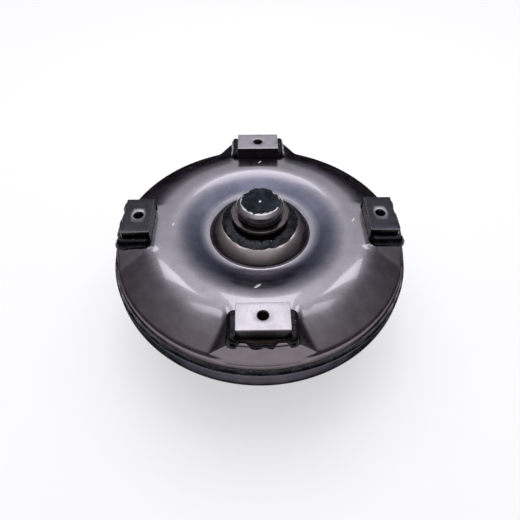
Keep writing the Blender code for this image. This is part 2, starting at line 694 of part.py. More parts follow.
def stator_wheel():
    """One casting: hub ring with a bore for the clutch and two snap ring grooves, blades and shroud."""
    bore = outside(cam_radius, STATOR_STEPS)
    groove = outside(cam_radius + SNAP_RING_BITE, STATOR_STEPS)
    rear_groove = rear_snap_ring - CLEARANCE
    front_groove = washer_floor + SNAP_RING_WIDTH + CLEARANCE
    front_end = front_groove + STATOR_END_WALL
    rear_end = rear_groove - STATOR_END_WALL
    step = front_cap + CAP_THICKNESS
    section = [(bore, front_end), (stator_hub_radius, front_end), (stator_hub_radius, rear_end),
               (bore, rear_end), (bore, rear_groove), (groove, rear_groove), (groove, rear_cap),
               (bore, rear_cap), (bore, step), (groove, step), (groove, front_groove),
               (bore, front_groove)]
    wheel = turned("stator_wheel", section, STATOR_STEPS, cast_aluminium)
    points = []
    faces = []
    profile = airfoil()
    count = len(profile)
    for blade in range(STATOR_BLADES):
        start = len(points)
        turn_by = 2 * math.pi * blade / STATOR_BLADES
        for radius in (stator_hub_radius - STATOR_BLADE_ROOT, shroud_inner_radius + STATOR_BLADE_TIP):
            x_axis, y_axis = polar(1.0, turn_by)
            points += [(radius * x_axis - y * y_axis, radius * y_axis + y * x_axis, midplane + z)
                       for y, z in profile]
        faces += [(start + side, start + (side + 1) % count, start + count + (side + 1) % count,
                   start + count + side) for side in range(count)]
        faces += [tuple(range(start, start + count))[::-1], tuple(range(start + count, start + 2 * count))]
    mesh = new_mesh("stator_blades", points, faces)
    face_outwards(mesh)
    combine(wheel, add_cutter("stator_blades", mesh), "UNION")
    shroud = turned("stator_shroud", [(shroud_inner_radius, midplane + SHROUD_HALF_HEIGHT),
                                      (shroud_inner_radius + SHROUD_WALL, midplane + SHROUD_HALF_HEIGHT),
                                      (shroud_inner_radius + SHROUD_WALL, midplane - SHROUD_HALF_HEIGHT),
                                      (shroud_inner_radius, midplane - SHROUD_HALF_HEIGHT)],
                    STATOR_STEPS, None)
    combine(wheel, shroud, "UNION")
    return wheel


def spline_loop(teeth, tip, root):
    """Inner outline of a splined bore."""
    pitch = 2 * math.pi / teeth
    loop = []
    for tooth in range(teeth):
        for radius, share in ((tip, 0.02), (tip, 0.44), (root, 0.52), (root, 0.94)):
            loop.append(polar(radius, pitch * (tooth + share)))
    return loop


def cam_loop():
    """Inner outline of the clutch's outer race: a land, a pocket wall and a closing ramp per roller."""
    loop = []
    for lobe in range(ROLLERS):
        loop += [polar(cam_land_radius, lobe_pitch * (lobe + share)) for share in (0.0, CAM_LAND_SHARE)]
        for share in np.linspace(0.0, 1.0, 4):
            radius = cam_ramp_start_radius + share * (cam_ramp_end_radius - cam_ramp_start_radius)
            place = CAM_POCKET_SHARE + share * (CAM_RAMP_END_SHARE - CAM_POCKET_SHARE)
            loop.append(polar(radius, lobe_pitch * (lobe + place)))
    return loop


def spring_loop():
    """Outline of a folded strip that pushes a roller up its ramp."""
    reach = math.sqrt(ROLLER_RADIUS ** 2 - (SPRING_HEIGHT / 2) ** 2) + CLEARANCE + SPRING_STRIP
    start = -lobe_pitch * CAM_POCKET_SHARE + 2 * SPRING_STRIP / roller_circle
    end = -lobe_pitch * ROLLER_PLACE - reach / roller_circle
    folds = [polar(roller_circle + (SPRING_HEIGHT / 2 if index % 2 else -SPRING_HEIGHT / 2), -angle)
             for index, angle in enumerate(np.linspace(start, end, 2 * SPRING_FOLDS))]
    return offset_section(folds, SPRING_STRIP / 2) + offset_section(folds, -SPRING_STRIP / 2)[::-1]


def one_way_clutch():
    """Cam race, splined inner race, rollers with their springs, two caps and two snap rings."""
    top = clutch_floor + ROLLER_LENGTH
    prism("clutch_outer_race", [circle(cam_radius, STATOR_STEPS), cam_loop()], clutch_floor, top,
          bearing_steel)
    prism("clutch_inner_race",
          [circle(INNER_RACE_RADIUS, RING_STEPS),
           spline_loop(STATOR_SPLINE_TEETH, stator_spline_tip, STATOR_SPLINE_ROOT_RADIUS)],
          clutch_floor, top, bearing_steel)
    roller_mesh = settled(turned("roller_blank", [(0.0, top), (ROLLER_RADIUS, top),
                                                  (ROLLER_RADIUS, clutch_floor), (0.0, clutch_floor)],
                                 ROLLER_STEPS, None))
    spring_mesh = settled(prism("spring_blank", [spring_loop()], clutch_floor + SPRING_END_GAP,
                                top - SPRING_END_GAP, None))
    for index in range(ROLLERS):
        around = lobe_pitch * (index + ROLLER_PLACE)
        roller = add_part(f"clutch_roller_{index + 1}", roller_mesh, bearing_steel)
        roller.location.xy = [MM * value for value in polar(roller_circle, around)]
        spring = add_part(f"clutch_spring_{index + 1}", spring_mesh, spring_steel)
        spring.rotation_euler.z = lobe_pitch * index
    for name, floor in (("clutch_rear_cap", rear_cap), ("clutch_front_cap", front_cap)):
        washer(name, floor, floor + CAP_THICKNESS, CAP_BORE_RADIUS, cam_radius, RING_STEPS, sheet_steel)
    for name, floor in (("rear_snap_ring", rear_snap_ring), ("front_snap_ring", washer_floor)):
        ring = np.linspace(SNAP_RING_OPENING / 2, 2 * math.pi - SNAP_RING_OPENING / 2, RING_STEPS - 5)
        outer = cam_radius + SNAP_RING_BITE
        loop = [polar(outer, a) for a in ring] + [polar(outer - SNAP_RING_DEPTH, a) for a in ring[::-1]]
        prism(name, [loop], floor, floor + SNAP_RING_WIDTH, spring_steel)


# Turbine

def turbine_turn(share):
    """Blades turn with the flow at the rim and strongly against it at the exit."""
    return TURBINE_EXIT_TURN * share ** 2 / 2 - TURBINE_ENTRY_TURN * (share - share ** 2 / 2)


def rivet_places():
    return [polar(rivet_circle_radius, 2 * math.pi * index / RIVETS) for index in range(RIVETS)]


def rivet_holes():
    solid = bmesh.new()
    radius = MM * outside(RIVET_RADIUS, 8)
    length = 3 * (hub_flange_top - turbine_flange)
    for x, y in rivet_places():
        bmesh.ops.create_cone(solid, cap_ends=True, segments=8, radius1=radius, radius2=radius,
                              depth=MM * length,
                              matrix=Matrix.Translation((MM * x, MM * y, MM * hub_flange)))
    mesh = bpy.data.meshes.new("rivet_holes")
    solid.to_mesh(mesh)
    solid.free()
    return add_cutter("rivet_holes", mesh)


def turbine_shell(holes):
    """Pressed half torus with a flat inner flange, its blades brazed on below."""
    outer = ellipse_of(TORUS_INNER_RADIUS + 0.5, turbine_rim_radius)
    fluid = (outer[0], outer[1] - TURBINE_WALL)
    depth = TURBINE_DEPTH - TURBINE_WALL
    hole = outside(turbine_pilot_radius, TURBINE_STEPS)
    angles = torus_angles(SHELL_ANGLES)
    back = [torus_point(outer, TURBINE_DEPTH, angle, 1) for angle in angles[::-1]]
    passage = [torus_point(fluid, depth, angle, 1) for angle in angles]
    bend = TORUS_INNER_RADIUS + 1.0
    flange_top = turbine_flange + TURBINE_WALL
    section = [(hole, flange_top), (bend, flange_top)] + back + passage
    section += [(bend + TURBINE_WALL, turbine_flange), (hole, turbine_flange)]
    shell = turned("turbine_shell", section, TURBINE_STEPS, sheet_steel)
    combine(shell, blade_sheets("turbine_blades", TURBINE_BLADES, 1, fluid, depth, turbine_turn), "UNION")
    combine(shell, holes, "DIFFERENCE")
    return shell


def turbine_hub(holes):
    """Flanged hub with a splined bore for the input shaft."""
    section = [(input_spline_tip, turbine_nose), (COVER_BEARING_RADIUS, turbine_nose),
               (COVER_BEARING_RADIUS, hub_flange_top), (turbine_hub_radius, hub_flange_top),
               (turbine_hub_radius, hub_flange), (turbine_pilot_radius, hub_flange),
               (turbine_pilot_radius, turbine_flange), (TURBINE_FOOT_RADIUS, turbine_flange),
               (TURBINE_FOOT_RADIUS, turbine_foot), (input_spline_tip, turbine_foot)]
    hub = turned("turbine_hub", section, HUB_STEPS, turned_steel)
    grooves = prism("input_spline", [spline_loop(INPUT_SPLINE_TEETH, input_spline_tip - 1.0,
                                                 INPUT_SPLINE_ROOT_RADIUS)],
                    turbine_foot - 1.0, turbine_nose + 1.0, None)
    combine(hub, grooves, "DIFFERENCE")
    combine(hub, holes, "DIFFERENCE")
    return hub


def turbine_rivets():
    top = hub_flange_top + CLEARANCE
    floor = turbine_flange - CLEARANCE
    section = [(0.0, top + RIVET_HEAD_HEIGHT), (RIVET_HEAD_RADIUS, top), (RIVET_RADIUS, top),
               (RIVET_RADIUS, floor), (RIVET_HEAD_RADIUS, floor), (0.0, floor - RIVET_HEAD_HEIGHT)]
    shared = settled(turned("rivet_blank", section, 8, None))
    for index, (x, y) in enumerate(rivet_places()):
        rivet = add_part(f"turbine_rivet_{index + 1}", shared, turned_steel)
        rivet.location.xy = (MM * x, MM * y)


for scene_object in list(bpy.data.objects):
    bpy.data.objects.remove(scene_object)
parts = bpy.data.collections.new("torque_converter")
cutters = bpy.data.collections.new("cutters")
bpy.context.scene.collection.children.link(parts)
bpy.context.scene.collection.children.link(cutters)

pressed_steel = finish("pressed_steel", (0.13, 0.12, 0.14), 0.32, 1.0)
turned_steel = finish("turned_steel", (0.42, 0.40, 0.42), 0.28, 1.0)
milled_steel = finish("milled_steel", (0.62, 0.60, 0.62), 0.3, 1.0)
weld_metal = finish("weld_metal", (0.03, 0.03, 0.035), 0.6, 1.0)
sheet_steel = finish("sheet_steel", (0.35, 0.34, 0.33), 0.4, 1.0)
bearing_steel = finish("bearing_steel", (0.55, 0.55, 0.56), 0.2, 1.0)
spring_steel = finish("spring_steel", (0.3, 0.3, 0.32), 0.3, 1.0)
cast_aluminium = finish("cast_aluminium", (0.6, 0.6, 0.59), 0.5, 1.0)
bronze = finish("bronze", (0.55, 0.36, 0.16), 0.35, 1.0)

front_cover()
pilot_hub()
pilot_weld()
mounting_pads()
pad_welds()
closure_weld()
impeller_shell()
core_ring("impeller_core_ring", -1)
impeller_hub()
impeller_hub_weld()
thrust_bearing("impeller_bearing", rear_bearing, BEARING_BORE_RADIUS, BEARING_RADIUS)
stator_wheel()
one_way_clutch()
washer("turbine_thrust_washer", washer_floor, washer_floor + WASHER_THICKNESS, CAP_BORE_RADIUS,
       TURBINE_FOOT_RADIUS, RING_STEPS, bronze)
shared_holes = rivet_holes()
turbine_shell(shared_holes)
core_ring("turbine_core_ring", 1)
turbine_hub(shared_holes)
turbine_rivets()
thrust_bearing("cover_bearing", cover_bearing, COVER_BEARING_BORE_RADIUS, COVER_BEARING_RADIUS)
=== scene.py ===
import math

import bmesh
import bpy
import numpy as np
from mathutils import Matrix, Vector
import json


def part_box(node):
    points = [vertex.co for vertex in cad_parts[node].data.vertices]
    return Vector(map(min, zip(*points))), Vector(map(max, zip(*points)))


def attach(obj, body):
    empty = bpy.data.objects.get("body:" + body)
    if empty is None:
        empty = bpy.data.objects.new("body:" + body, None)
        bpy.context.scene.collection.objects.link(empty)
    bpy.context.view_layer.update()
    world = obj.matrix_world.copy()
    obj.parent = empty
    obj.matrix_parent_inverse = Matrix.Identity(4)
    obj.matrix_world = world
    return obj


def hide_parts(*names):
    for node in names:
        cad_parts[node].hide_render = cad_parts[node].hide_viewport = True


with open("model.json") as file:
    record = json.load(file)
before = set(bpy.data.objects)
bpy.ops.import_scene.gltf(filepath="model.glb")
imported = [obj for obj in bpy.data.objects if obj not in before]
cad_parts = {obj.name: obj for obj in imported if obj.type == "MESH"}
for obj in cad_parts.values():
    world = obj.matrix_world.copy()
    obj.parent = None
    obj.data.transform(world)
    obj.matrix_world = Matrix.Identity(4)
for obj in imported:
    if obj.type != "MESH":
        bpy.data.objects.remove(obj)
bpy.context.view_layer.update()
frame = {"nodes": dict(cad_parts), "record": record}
print("frame loaded:", len(frame["nodes"]), "nodes")

# Every size is in millimetres, heights measured from the end of the impeller hub, +Z to the engine.
mm = 0.001
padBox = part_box("mounting_pad_1")
padTop = padBox[1][2] / mm
crown = padBox[0][2] / mm - 0.3  # the cover's highest ring, on which the pads sit
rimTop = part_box("impeller_shell")[1][2] / mm
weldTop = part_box("closure_weld")[1][2] / mm
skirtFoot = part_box("front_cover")[0][2] / mm
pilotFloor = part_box("pilot_hub")[0][2] / mm
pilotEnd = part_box("pilot_hub")[1][2] / mm


def waves(values, seed, count, lowest, highest, other=0.0, otherHighest=0.0):
    # A smooth irregular line: a sum of sine waves of seeded phase, whole turns in 2 pi so that rings close.
    random = np.random.default_rng(seed)
    total = np.zeros(np.broadcast(values, other).shape)
    for _ in range(count):
        turns = random.integers(lowest, highest + 1)
        across = random.uniform(-otherHighest, otherHighest)
        phase = random.uniform(0.0, 2.0 * np.pi)
        total = total + np.sin(turns * values + across * other + phase)
    return total / math.sqrt(count)


def softStep(values, low, high):
    # Rises from 0 at low to 1 at high along a cubic with level ends.
    share = np.clip((values - low) / (high - low), 0.0, 1.0)
    return share * share * (3.0 - 2.0 * share)


def bentLine(ends, share):
    # Quadratic curve from the first point to the last, drawn towards the middle one.
    share = share[:, None]
    return (1 - share) ** 2 * ends[0] + 2 * share * (1 - share) * ends[1] + share ** 2 * ends[2]


def roundedLine(corners, steps=5):
    # A polyline of (x, y, radius) corners; each corner becomes a quadratic curve that starts and ends
    # the given distance from it along its two sides, or just short of half a side where that is less.
    corners = [np.array(corner, float) for corner in corners]
    line = [corners[0][:2]]
    for before, corner, after in zip(corners, corners[1:], corners[2:]):
        if corner[2] <= 0.0:
            line.append(corner[:2])
            continue
        back = before[:2] - corner[:2]
        ahead = after[:2] - corner[:2]
        reach = min(corner[2], 0.48 * np.linalg.norm(back), 0.48 * np.linalg.norm(ahead))
        start = corner[:2] + back / np.linalg.norm(back) * reach
        end = corner[:2] + ahead / np.linalg.norm(ahead) * reach
        line.extend(bentLine((start, corner[:2], end), np.linspace(0.0, 1.0, steps)))
    line.append(corners[-1][:2])
    return np.array(line)


def finerLine(line, longest):
    # The same polyline with points added so that no stretch is longer than the given length.
    pieces = []
    for start, end in zip(line, line[1:]):
        count = max(1, int(math.ceil(np.linalg.norm(end - start) / longest)))
        pieces.append(start + (end - start) * np.linspace(0.0, 1.0, count + 1)[:-1, None])
    return np.vstack(pieces + [line[-1:]])


def gridFaces(rows, columns, closeRows, closeColumns):
    # Quads between neighbours of a grid of points, round either way where it closes.
    row = np.arange(rows if closeRows else rows - 1)[:, None]
    column = np.arange(columns if closeColumns else columns - 1)[None, :]
    nextRow = (row + 1) % rows
    nextColumn = (column + 1) % columns
    quads = [row * columns + column, nextRow * columns + column,
             nextRow * columns + nextColumn, row * columns + nextColumn]
    return np.stack(np.broadcast_arrays(*quads), axis=-1).reshape(-1, 4)


def outwards(points, faces):
    # Turns all faces round if the closed shape's signed volume is negative.
    a, b, c, d = (points[faces[:, side]] for side in range(4))
    volume = np.einsum("ij,ij->", a, np.cross(b, c)) + np.einsum("ij,ij->", a, np.cross(c, d))
    return faces[:, ::-1] if volume < 0.0 else faces


def makePiece(name, body, nodes, material, sharp, grids, marks=None, merge=False):
    # One piece of closed grids of points in millimetres, each given with whether its rows and its
    # columns close; marks are values at the points, which the material reads.
    points, faces, count = [], [], 0
    for grid, closeRows, closeColumns in grids:
        flat = np.asarray(grid, float).reshape(-1, 3)
        quads = outwards(flat, gridFaces(grid.shape[0], grid.shape[1], closeRows, closeColumns))
        points.append(flat)
        faces.append(quads + count)
        count += len(flat)
    mesh = bpy.data.meshes.new(name)
    mesh.from_pydata(np.vstack(points) * mm, [], np.vstack(faces))
    if merge:
        solid = bmesh.new()
        solid.from_mesh(mesh)
        bmesh.ops.remove_doubles(solid, verts=solid.verts, dist=1e-7)
        solid.to_mesh(mesh)
        solid.free()
    mesh.shade_smooth()
    mesh.set_sharp_from_angle(angle=math.radians(sharp))
    mesh.materials.append(material)
    for key, values in (marks or {}).items():
        mesh.attributes.new(key, "FLOAT", "POINT").data.foreach_set("value", values.ravel())
    piece = bpy.data.objects.new(name, mesh)
    bpy.context.scene.collection.objects.link(piece)
    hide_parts(*nodes)
    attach(piece, body)
    print("made", name, len(mesh.polygons), "faces")


def circle(steps):
    return np.linspace(0.0, 2.0 * np.pi, steps, endpoint=False)


def inRound(radius, height, around):
    # Points from distance to the axis, height and angle: x = r cos a, y = r sin a.
    radius, height, around = np.broadcast_arrays(radius, height, around)
    return np.stack([radius * np.cos(around), radius * np.sin(around), height], axis=-1)


def turned(profile, steps):
    # A closed section of (radius, height) points carried once round Z.
    return inRound(profile[None, :, 0], profile[None, :, 1], circle(steps)[:, None])


def quarterTurned(x, y, quarters):
    # Turned round Z by quarters: x' = x cos a - y sin a, y' = x sin a + y cos a.
    turn = quarters * math.pi / 2.0
    return x * math.cos(turn) - y * math.sin(turn), x * math.sin(turn) + y * math.cos(turn)


def linear(code):
    # An sRGB hex colour turned to the linear values that shaders use.
    values = [int(code[start:start + 2], 16) / 255.0 for start in (1, 3, 5)]
    return tuple(v / 12.92 if v <= 0.04045 else ((v + 0.055) / 1.055) ** 2.4 for v in values) + (1.0,)


def feed(tree, node, inputs):
    # Sets or links a node's inputs, given by name or number, or as a list in their order.
    for key, value in inputs.items() if isinstance(inputs, dict) else enumerate(inputs):
        if isinstance(value, bpy.types.NodeSocket):
            tree.links.new(value, node.inputs[key])
        else:
            node.inputs[key].default_value = value


def addNode(tree, kind, inputs=(), output=0, stops=(), **settings):
    # Adds a node with its settings, inputs and any (position, hex colour) stops; gives back one output.
    # A Map Range lists value, from min, from max, to min, to max.
    node = tree.nodes.new("ShaderNode" + kind)
    for key, value in settings.items():
        setattr(node, key, value)
    feed(tree, node, inputs)
    elements = node.color_ramp.elements if stops else ()
    while len(elements) < len(stops):  # a ramp starts with two
        elements.new(1.0)
    for element, (position, code) in zip(elements, stops):
        element.position = position
        element.color = linear(code)
    return node.outputs[output] if node.outputs else None


def spaced(place, size, detail, roughness=0.5):
    # A noise's inputs for a pattern of the given size in millimetres.
    return {"Vector": place, "Scale": 1000.0 / size, "Detail": detail, "Roughness": roughness}


def startMaterial(name, colour, roughness, metallic=1.0):
    material = bpy.data.materials.new(name)
    material.use_nodes = True
    tree = material.node_tree
    shader = tree.nodes["Principled BSDF"]
    feed(tree, shader, {"Base Color": linear(colour), "Roughness": roughness, "Metallic": metallic})
    material.diffuse_color = linear(colour)
    return material, tree, shader, addNode(tree, "TexCoord", output="Object")


def splitPlace(tree, place):
    # Y, Z and the distance from the axis, in metres.
    x, y, z = addNode(tree, "SeparateXYZ", [place]).node.outputs
    flat = addNode(tree, "CombineXYZ", [x, y])
    return y, z, addNode(tree, "VectorMath", [flat], "Value", operation="LENGTH")


# Pressed steel, drawn from sheet and oiled: mauve grey with a soft gloss and hardly any clouds, a little
# different from zone to zone and darker in the valley as painted shade, with dark specks, fine scratches,
# brown heat tint beside the welds, and the same brown as painted shade on the wall below each seat.
# Zones are shares of the reach; the oil's places and all other lengths are millimetres.
coverLook = {
    "reach": 160.0, "edge": "#47484e", "dark": "#2c2a30", "straw": "#8a736c", "brown": "#66524a",
    "blue": "#3f3d47", "paint": "#e4e0e4", "scratch": "#b4aeb8",
    "zones": [(0.0, "#968a8a"), (0.325, "#968a8a"), (0.335, "#8b8892"), (0.36, "#85828c"),
              (0.41, "#565867"), (0.46, "#5c5d6b"), (0.55, "#7e7a85"), (0.63, "#827d87"),
              (0.72, "#807b84"), (0.8, "#7a747d"), (0.9, "#7d757a"), (0.97, "#83797c")],
    "oil": [(0.0, 0.8), (55.5, 0.8), (58.5, 0.0), (78.0, 0.0), (90.0, 1.0), (113.0, 1.0),
            (124.0, 0.0), (160.0, 0.0)],
    "rough": 0.22, "roughMore": 0.08, "oilRough": 0.06, "oilIor": 1.85,
    "dentMm": 12.0, "dentHeight": 0.035, "grainMm": 1.6, "grainHeight": 0.003, "speckMm": 1.5,
    "scratchDepth": 0.006, "scratchRadius": 77.0, "scratchEdge": (0.7, 0.2), "scratchFront": (-66.0, -75.0)}
shellLook = dict(coverLook, zones=[(0.0, "#78757c"), (0.98, "#78757c"), (1.0, "#66646b")], rough=0.25)
# Paint dashes put on by hand: middle, degrees and half length of each; they are 0.3 as wide as long.
paintDashes = [((2.0, 105.0), 45.0, 3.2), ((-92.0, 1.0), 70.0, 3.0), ((100.0, 4.0), 60.0, 3.4),
               ((-4.0, -81.0), 42.0, 4.6)]


def pressedSteel(name, look, isCover):
    material, tree, shader, place = startMaterial(name, look["zones"][0][1], look["rough"])
    y, z, radius = splitPlace(tree, place)
    dents = addNode(tree, "TexNoise", spaced(place, look["dentMm"], 3.0, 0.45))
    grain = addNode(tree, "TexNoise", spaced(place, look["grainMm"], 4.0, 0.65))
    zone = addNode(tree, "Math", [radius, 1000.0 / look["reach"]], operation="MULTIPLY")
    # A thin film of oil, left on the dome and the crown, gives a crisp gloss over the soft one.
    film = addNode(tree, "FloatCurve", {"Value": zone})
    points = film.node.mapping.curves[0].points
    while len(points) < len(look["oil"]):  # starts with two
        points.new(0.5, 0.5)
    for point, (position, weight) in zip(points, look["oil"]):
        point.location = (position / look["reach"], weight)
        point.handle_type = "VECTOR"
    film.node.mapping.update()
    # The darker stops at 0.41 and 0.46 of the reach paint shade into the valley.
    colour = addNode(tree, "ValToRGB", [zone], stops=look["zones"])
    lift = addNode(tree, "MapRange", [dents, 0.3, 0.7, 0.9, 1.08])
    colour = addNode(tree, "VectorMath", {0: colour, "Scale": lift}, operation="SCALE")
    specks = addNode(tree, "TexNoise", spaced(place, look["speckMm"], 2.0))
    dirt = addNode(tree, "MapRange", [specks, 0.72, 0.78, 0.0, 0.6])
    colour = addNode(tree, "Mix", {0: dirt, 6: colour, 7: linear(look["dark"])}, 2, data_type="RGBA")
    # Long thin scratches: a noise squeezed along one direction, in two crossing layers.
    lines = []
    for turn, shift in ((0.5, 0.0), (-0.9, 3.0)):
        squeezed = addNode(tree, "Mapping", {"Vector": place, "Location": (shift, shift, 0.0),
                                             "Rotation": (0.0, 0.0, turn), "Scale": (30.0, 900.0, 60.0)})
        lines.append(addNode(tree, "TexNoise", {"Vector": squeezed, "Scale": 1.0, "Detail": 3.0,
                                                "Roughness": 0.6}))
    scratch = addNode(tree, "Math", lines, operation="MAXIMUM")
    scratch = addNode(tree, "MapRange", [scratch, 0.66, 0.8])
    if isCover:
        # The attribute holds heat tint beside the welds and painted shade on the wall below each seat.
        heat = addNode(tree, "Attribute", output="Fac", attribute_name="heat")
        tint = addNode(tree, "ValToRGB", [heat], stops=[(0.0, look["straw"]), (0.5, look["brown"]),
                                                        (0.95, look["blue"])])
        amount = addNode(tree, "MapRange", [heat, 0.05, 0.6, 0.0, 0.6])
        colour = addNode(tree, "Mix", {0: amount, 6: colour, 7: tint}, 2, data_type="RGBA")
        # One thin ring left by handling on the front of the valley, drawn a little wider than it is.
        off = addNode(tree, "Math", [radius, look["scratchRadius"] * mm], operation="SUBTRACT")
        off = addNode(tree, "Math", [off], operation="ABSOLUTE")
        ring = addNode(tree, "MapRange", [off, *(edge * mm for edge in look["scratchEdge"])])
        front = addNode(tree, "MapRange", [y, *(edge * mm for edge in look["scratchFront"]), 0.0, 0.5])
        amount = addNode(tree, "Math", [ring, front], operation="MULTIPLY")
        colour = addNode(tree, "Mix", {0: amount, 6: colour, 7: linear(look["scratch"])}, 2,
                         data_type="RGBA")
        paint = 0.0
        for middle, degrees, half in paintDashes:
            spot = addNode(tree, "Mapping", {
                "Vector": place, "Location": (middle[0] * mm, middle[1] * mm, crown * mm),
                "Rotation": (0.0, 0.0, math.radians(degrees)),
                "Scale": (half * mm, 0.3 * half * mm, 0.2)}, vector_type="TEXTURE")
            away = addNode(tree, "VectorMath", [spot], "Value", operation="LENGTH")
            away = addNode(tree, "Math", [grain, 0.9, away], operation="MULTIPLY_ADD")  # uneven edge
            amount = addNode(tree, "MapRange", [away, 1.5, 1.3])
            colour = addNode(tree, "Mix", {0: amount, 6: colour, 7: linear(look["paint"])}, 2,
                             data_type="RGBA")
            paint = addNode(tree, "Math", [paint, amount], operation="MAXIMUM")
        feed(tree, shader, {"Metallic": addNode(tree, "Math", [1.0, paint], operation="SUBTRACT")})
    rough = addNode(tree, "MapRange", [dents, 0.3, 0.7, look["rough"], look["rough"] + look["roughMore"]])
    rough = addNode(tree, "Math", [scratch, 0.15, rough], operation="MULTIPLY_ADD")
    # Shallow dents, fine grain and scratches, each as a height in metres.
    high = addNode(tree, "Math", [dents, look["dentHeight"] * mm], operation="MULTIPLY")
    high = addNode(tree, "Math", [grain, look["grainHeight"] * mm, high], operation="MULTIPLY_ADD")
    high = addNode(tree, "Math", [scratch, -look["scratchDepth"] * mm, high], operation="MULTIPLY_ADD")
    bump = addNode(tree, "Bump", {"Height": high, "Strength": 1.0, "Distance": 1.0})
    feed(tree, shader, {
        "Base Color": colour, "Roughness": rough, "Normal": bump, "Coat Weight": film,
        "Coat Roughness": look["oilRough"], "Coat IOR": look["oilIor"],
        "Specular Tint": linear(look["edge"])})  # oil keeps it dark at grazing sight
    return material


# Turned steel: grey with a sharp gloss and fine rings left by the tool; real marks lie 0.1 mm apart and
# are drawn 0.6 mm apart so that they show.
def turnedSteel(name, colour, dark, roughness):
    ringMm, cloudMm = 0.6, 9.0
    material, tree, shader, place = startMaterial(name, colour, roughness)
    y, z, radius = splitPlace(tree, place)
    along = addNode(tree, "Math", [radius, z], operation="ADD")
    line = addNode(tree, "CombineXYZ", [along])
    rings = addNode(tree, "TexNoise", spaced(line, ringMm, 2.0))
    cloud = addNode(tree, "TexNoise", spaced(place, cloudMm, 4.0, 0.6))
    mixed = addNode(tree, "Math", [rings, cloud], operation="MULTIPLY")
    surface = addNode(tree, "ValToRGB", [mixed], stops=[(0.12, dark), (0.34, colour)])
    rough = addNode(tree, "MapRange", [cloud, 0.3, 0.7, roughness - 0.05, roughness + 0.08])
    bump = addNode(tree, "Bump", {"Height": rings, "Strength": 0.2, "Distance": 0.0001})
    feed(tree, shader, {"Base Color": surface, "Roughness": rough, "Normal": bump})
    return material, tree, shader, surface, z, radius, cloud


# The pilot's own finish: turned steel whose end wears a dark smear of sealant with a ragged edge, and
# whose collar's side is stained brown by the heat of its weld; its top face is darkened in the same brown
# as painted shade, and its chamfer is lightened as a painted highlight. The middle of the end stays clean;
# a level is a pair of heights, above the crown for the stain and shade and above the end for the rest.
pilotLook = {"steel": "#8d878d", "dark": "#565156", "chamferHighlight": "#b9b4b8", "smear": "#1b1f25",
             "smearLight": "#30363e", "smearRadius": 18.8, "ragged": 14.0, "middle": (1.0, 1.4),
             "stainAndShade": "#463b36", "stainLevel": (17.4, 15.0), "collarTopShadeLevel": (18.2, 17.2),
             "endLevel": (-0.6, -0.2), "chamferHighlightLevel": (-3.1, -2.9)}


def pilotFinish():
    look = pilotLook
    material, tree, shader, surface, z, radius, cloud = turnedSteel("turnedPilotSteel", look["steel"],
                                                                    look["dark"], 0.11)
    edge = addNode(tree, "Math", [cloud, -look["ragged"] * mm, radius], operation="MULTIPLY_ADD")
    inside = addNode(tree, "MapRange", [edge, (look["smearRadius"] - 6.3) * mm,  # the cloud moves it 6.5
                                        (look["smearRadius"] - 6.7) * mm])
    onEnd = addNode(tree, "MapRange", [z, *((pilotEnd + level) * mm for level in look["endLevel"])])
    offMiddle = addNode(tree, "MapRange", [radius, *(level * mm for level in look["middle"])])
    smear = addNode(tree, "Math", [inside, onEnd], operation="MULTIPLY")
    smear = addNode(tree, "Math", [smear, offMiddle], operation="MULTIPLY")
    # The collar's side gets the brown stain; its top face gets the same colour as painted shade.
    stainAndShadeMasks = [addNode(tree, "MapRange", [z, *((crown + level) * mm for level in levels), 0.0, most])
              for levels, most in ((look["stainLevel"], 0.9), (look["collarTopShadeLevel"], 0.6))]
    stainAndShade = addNode(tree, "Math", stainAndShadeMasks, operation="MAXIMUM")
    # The chamfer is lightened as a painted highlight.
    chamfer = addNode(tree, "MapRange", [z, *((pilotEnd + level) * mm for level in look["chamferHighlightLevel"])])
    oily = addNode(tree, "ValToRGB", [cloud], stops=[(0.42, look["smear"]), (0.66, look["smearLight"])])
    for amount, colour in ((stainAndShade, linear(look["stainAndShade"])), (chamfer, linear(look["chamferHighlight"])), (smear, oily)):
        surface = addNode(tree, "Mix", {0: amount, 6: surface, 7: colour}, 2, data_type="RGBA")
    feed(tree, shader, {"Base Color": surface})
    return material


# Milled steel: satin, nearly white where it faces the light, with straight cutter marks; the sides and the
# thread get painted shade and the edge a lighter band as painted highlight, and the attribute shade says
# which is which.
def milledSteel(name, colour, dark, side, edge, roughness):
    thread, cloudMm = "#4c4a4e", 9.0
    material, tree, shader, place = startMaterial(name, colour, roughness)
    marks = addNode(tree, "Mapping", {"Vector": place, "Scale": (1200.0, 60.0, 200.0),
                                      "Rotation": (0.0, 0.0, 0.35)})
    lines = addNode(tree, "TexNoise", {"Vector": marks, "Scale": 1.0, "Detail": 4.0, "Roughness": 0.6})
    cloud = addNode(tree, "TexNoise", spaced(place, cloudMm, 5.0, 0.6))
    mixed = addNode(tree, "Math", [lines, cloud], operation="ADD")
    surface = addNode(tree, "ValToRGB", [mixed], stops=[(0.62, dark), (0.95, colour)])
    # Painted shade on the sides and in the thread, and a painted highlight on the edge, chosen by the
    # attribute shade.
    shade = addNode(tree, "Attribute", output="Fac", attribute_name="shade")
    amount = addNode(tree, "MapRange", [shade, 0.0, 0.2])
    paintedHighlightAndShade = addNode(tree, "ValToRGB", [shade], stops=[(0.0, edge), (0.25, edge), (0.35, side), (0.6, side),
                                                      (1.0, thread)])
    surface = addNode(tree, "Mix", {0: amount, 6: surface, 7: paintedHighlightAndShade}, 2, data_type="RGBA")
    rough = addNode(tree, "MapRange", [cloud, 0.3, 0.7, roughness - 0.06, roughness + 0.08])
    bump = addNode(tree, "Bump", {"Height": lines, "Strength": 0.15, "Distance": 0.0003})
    feed(tree, shader, {"Base Color": surface, "Roughness": rough, "Normal": bump})
    return material


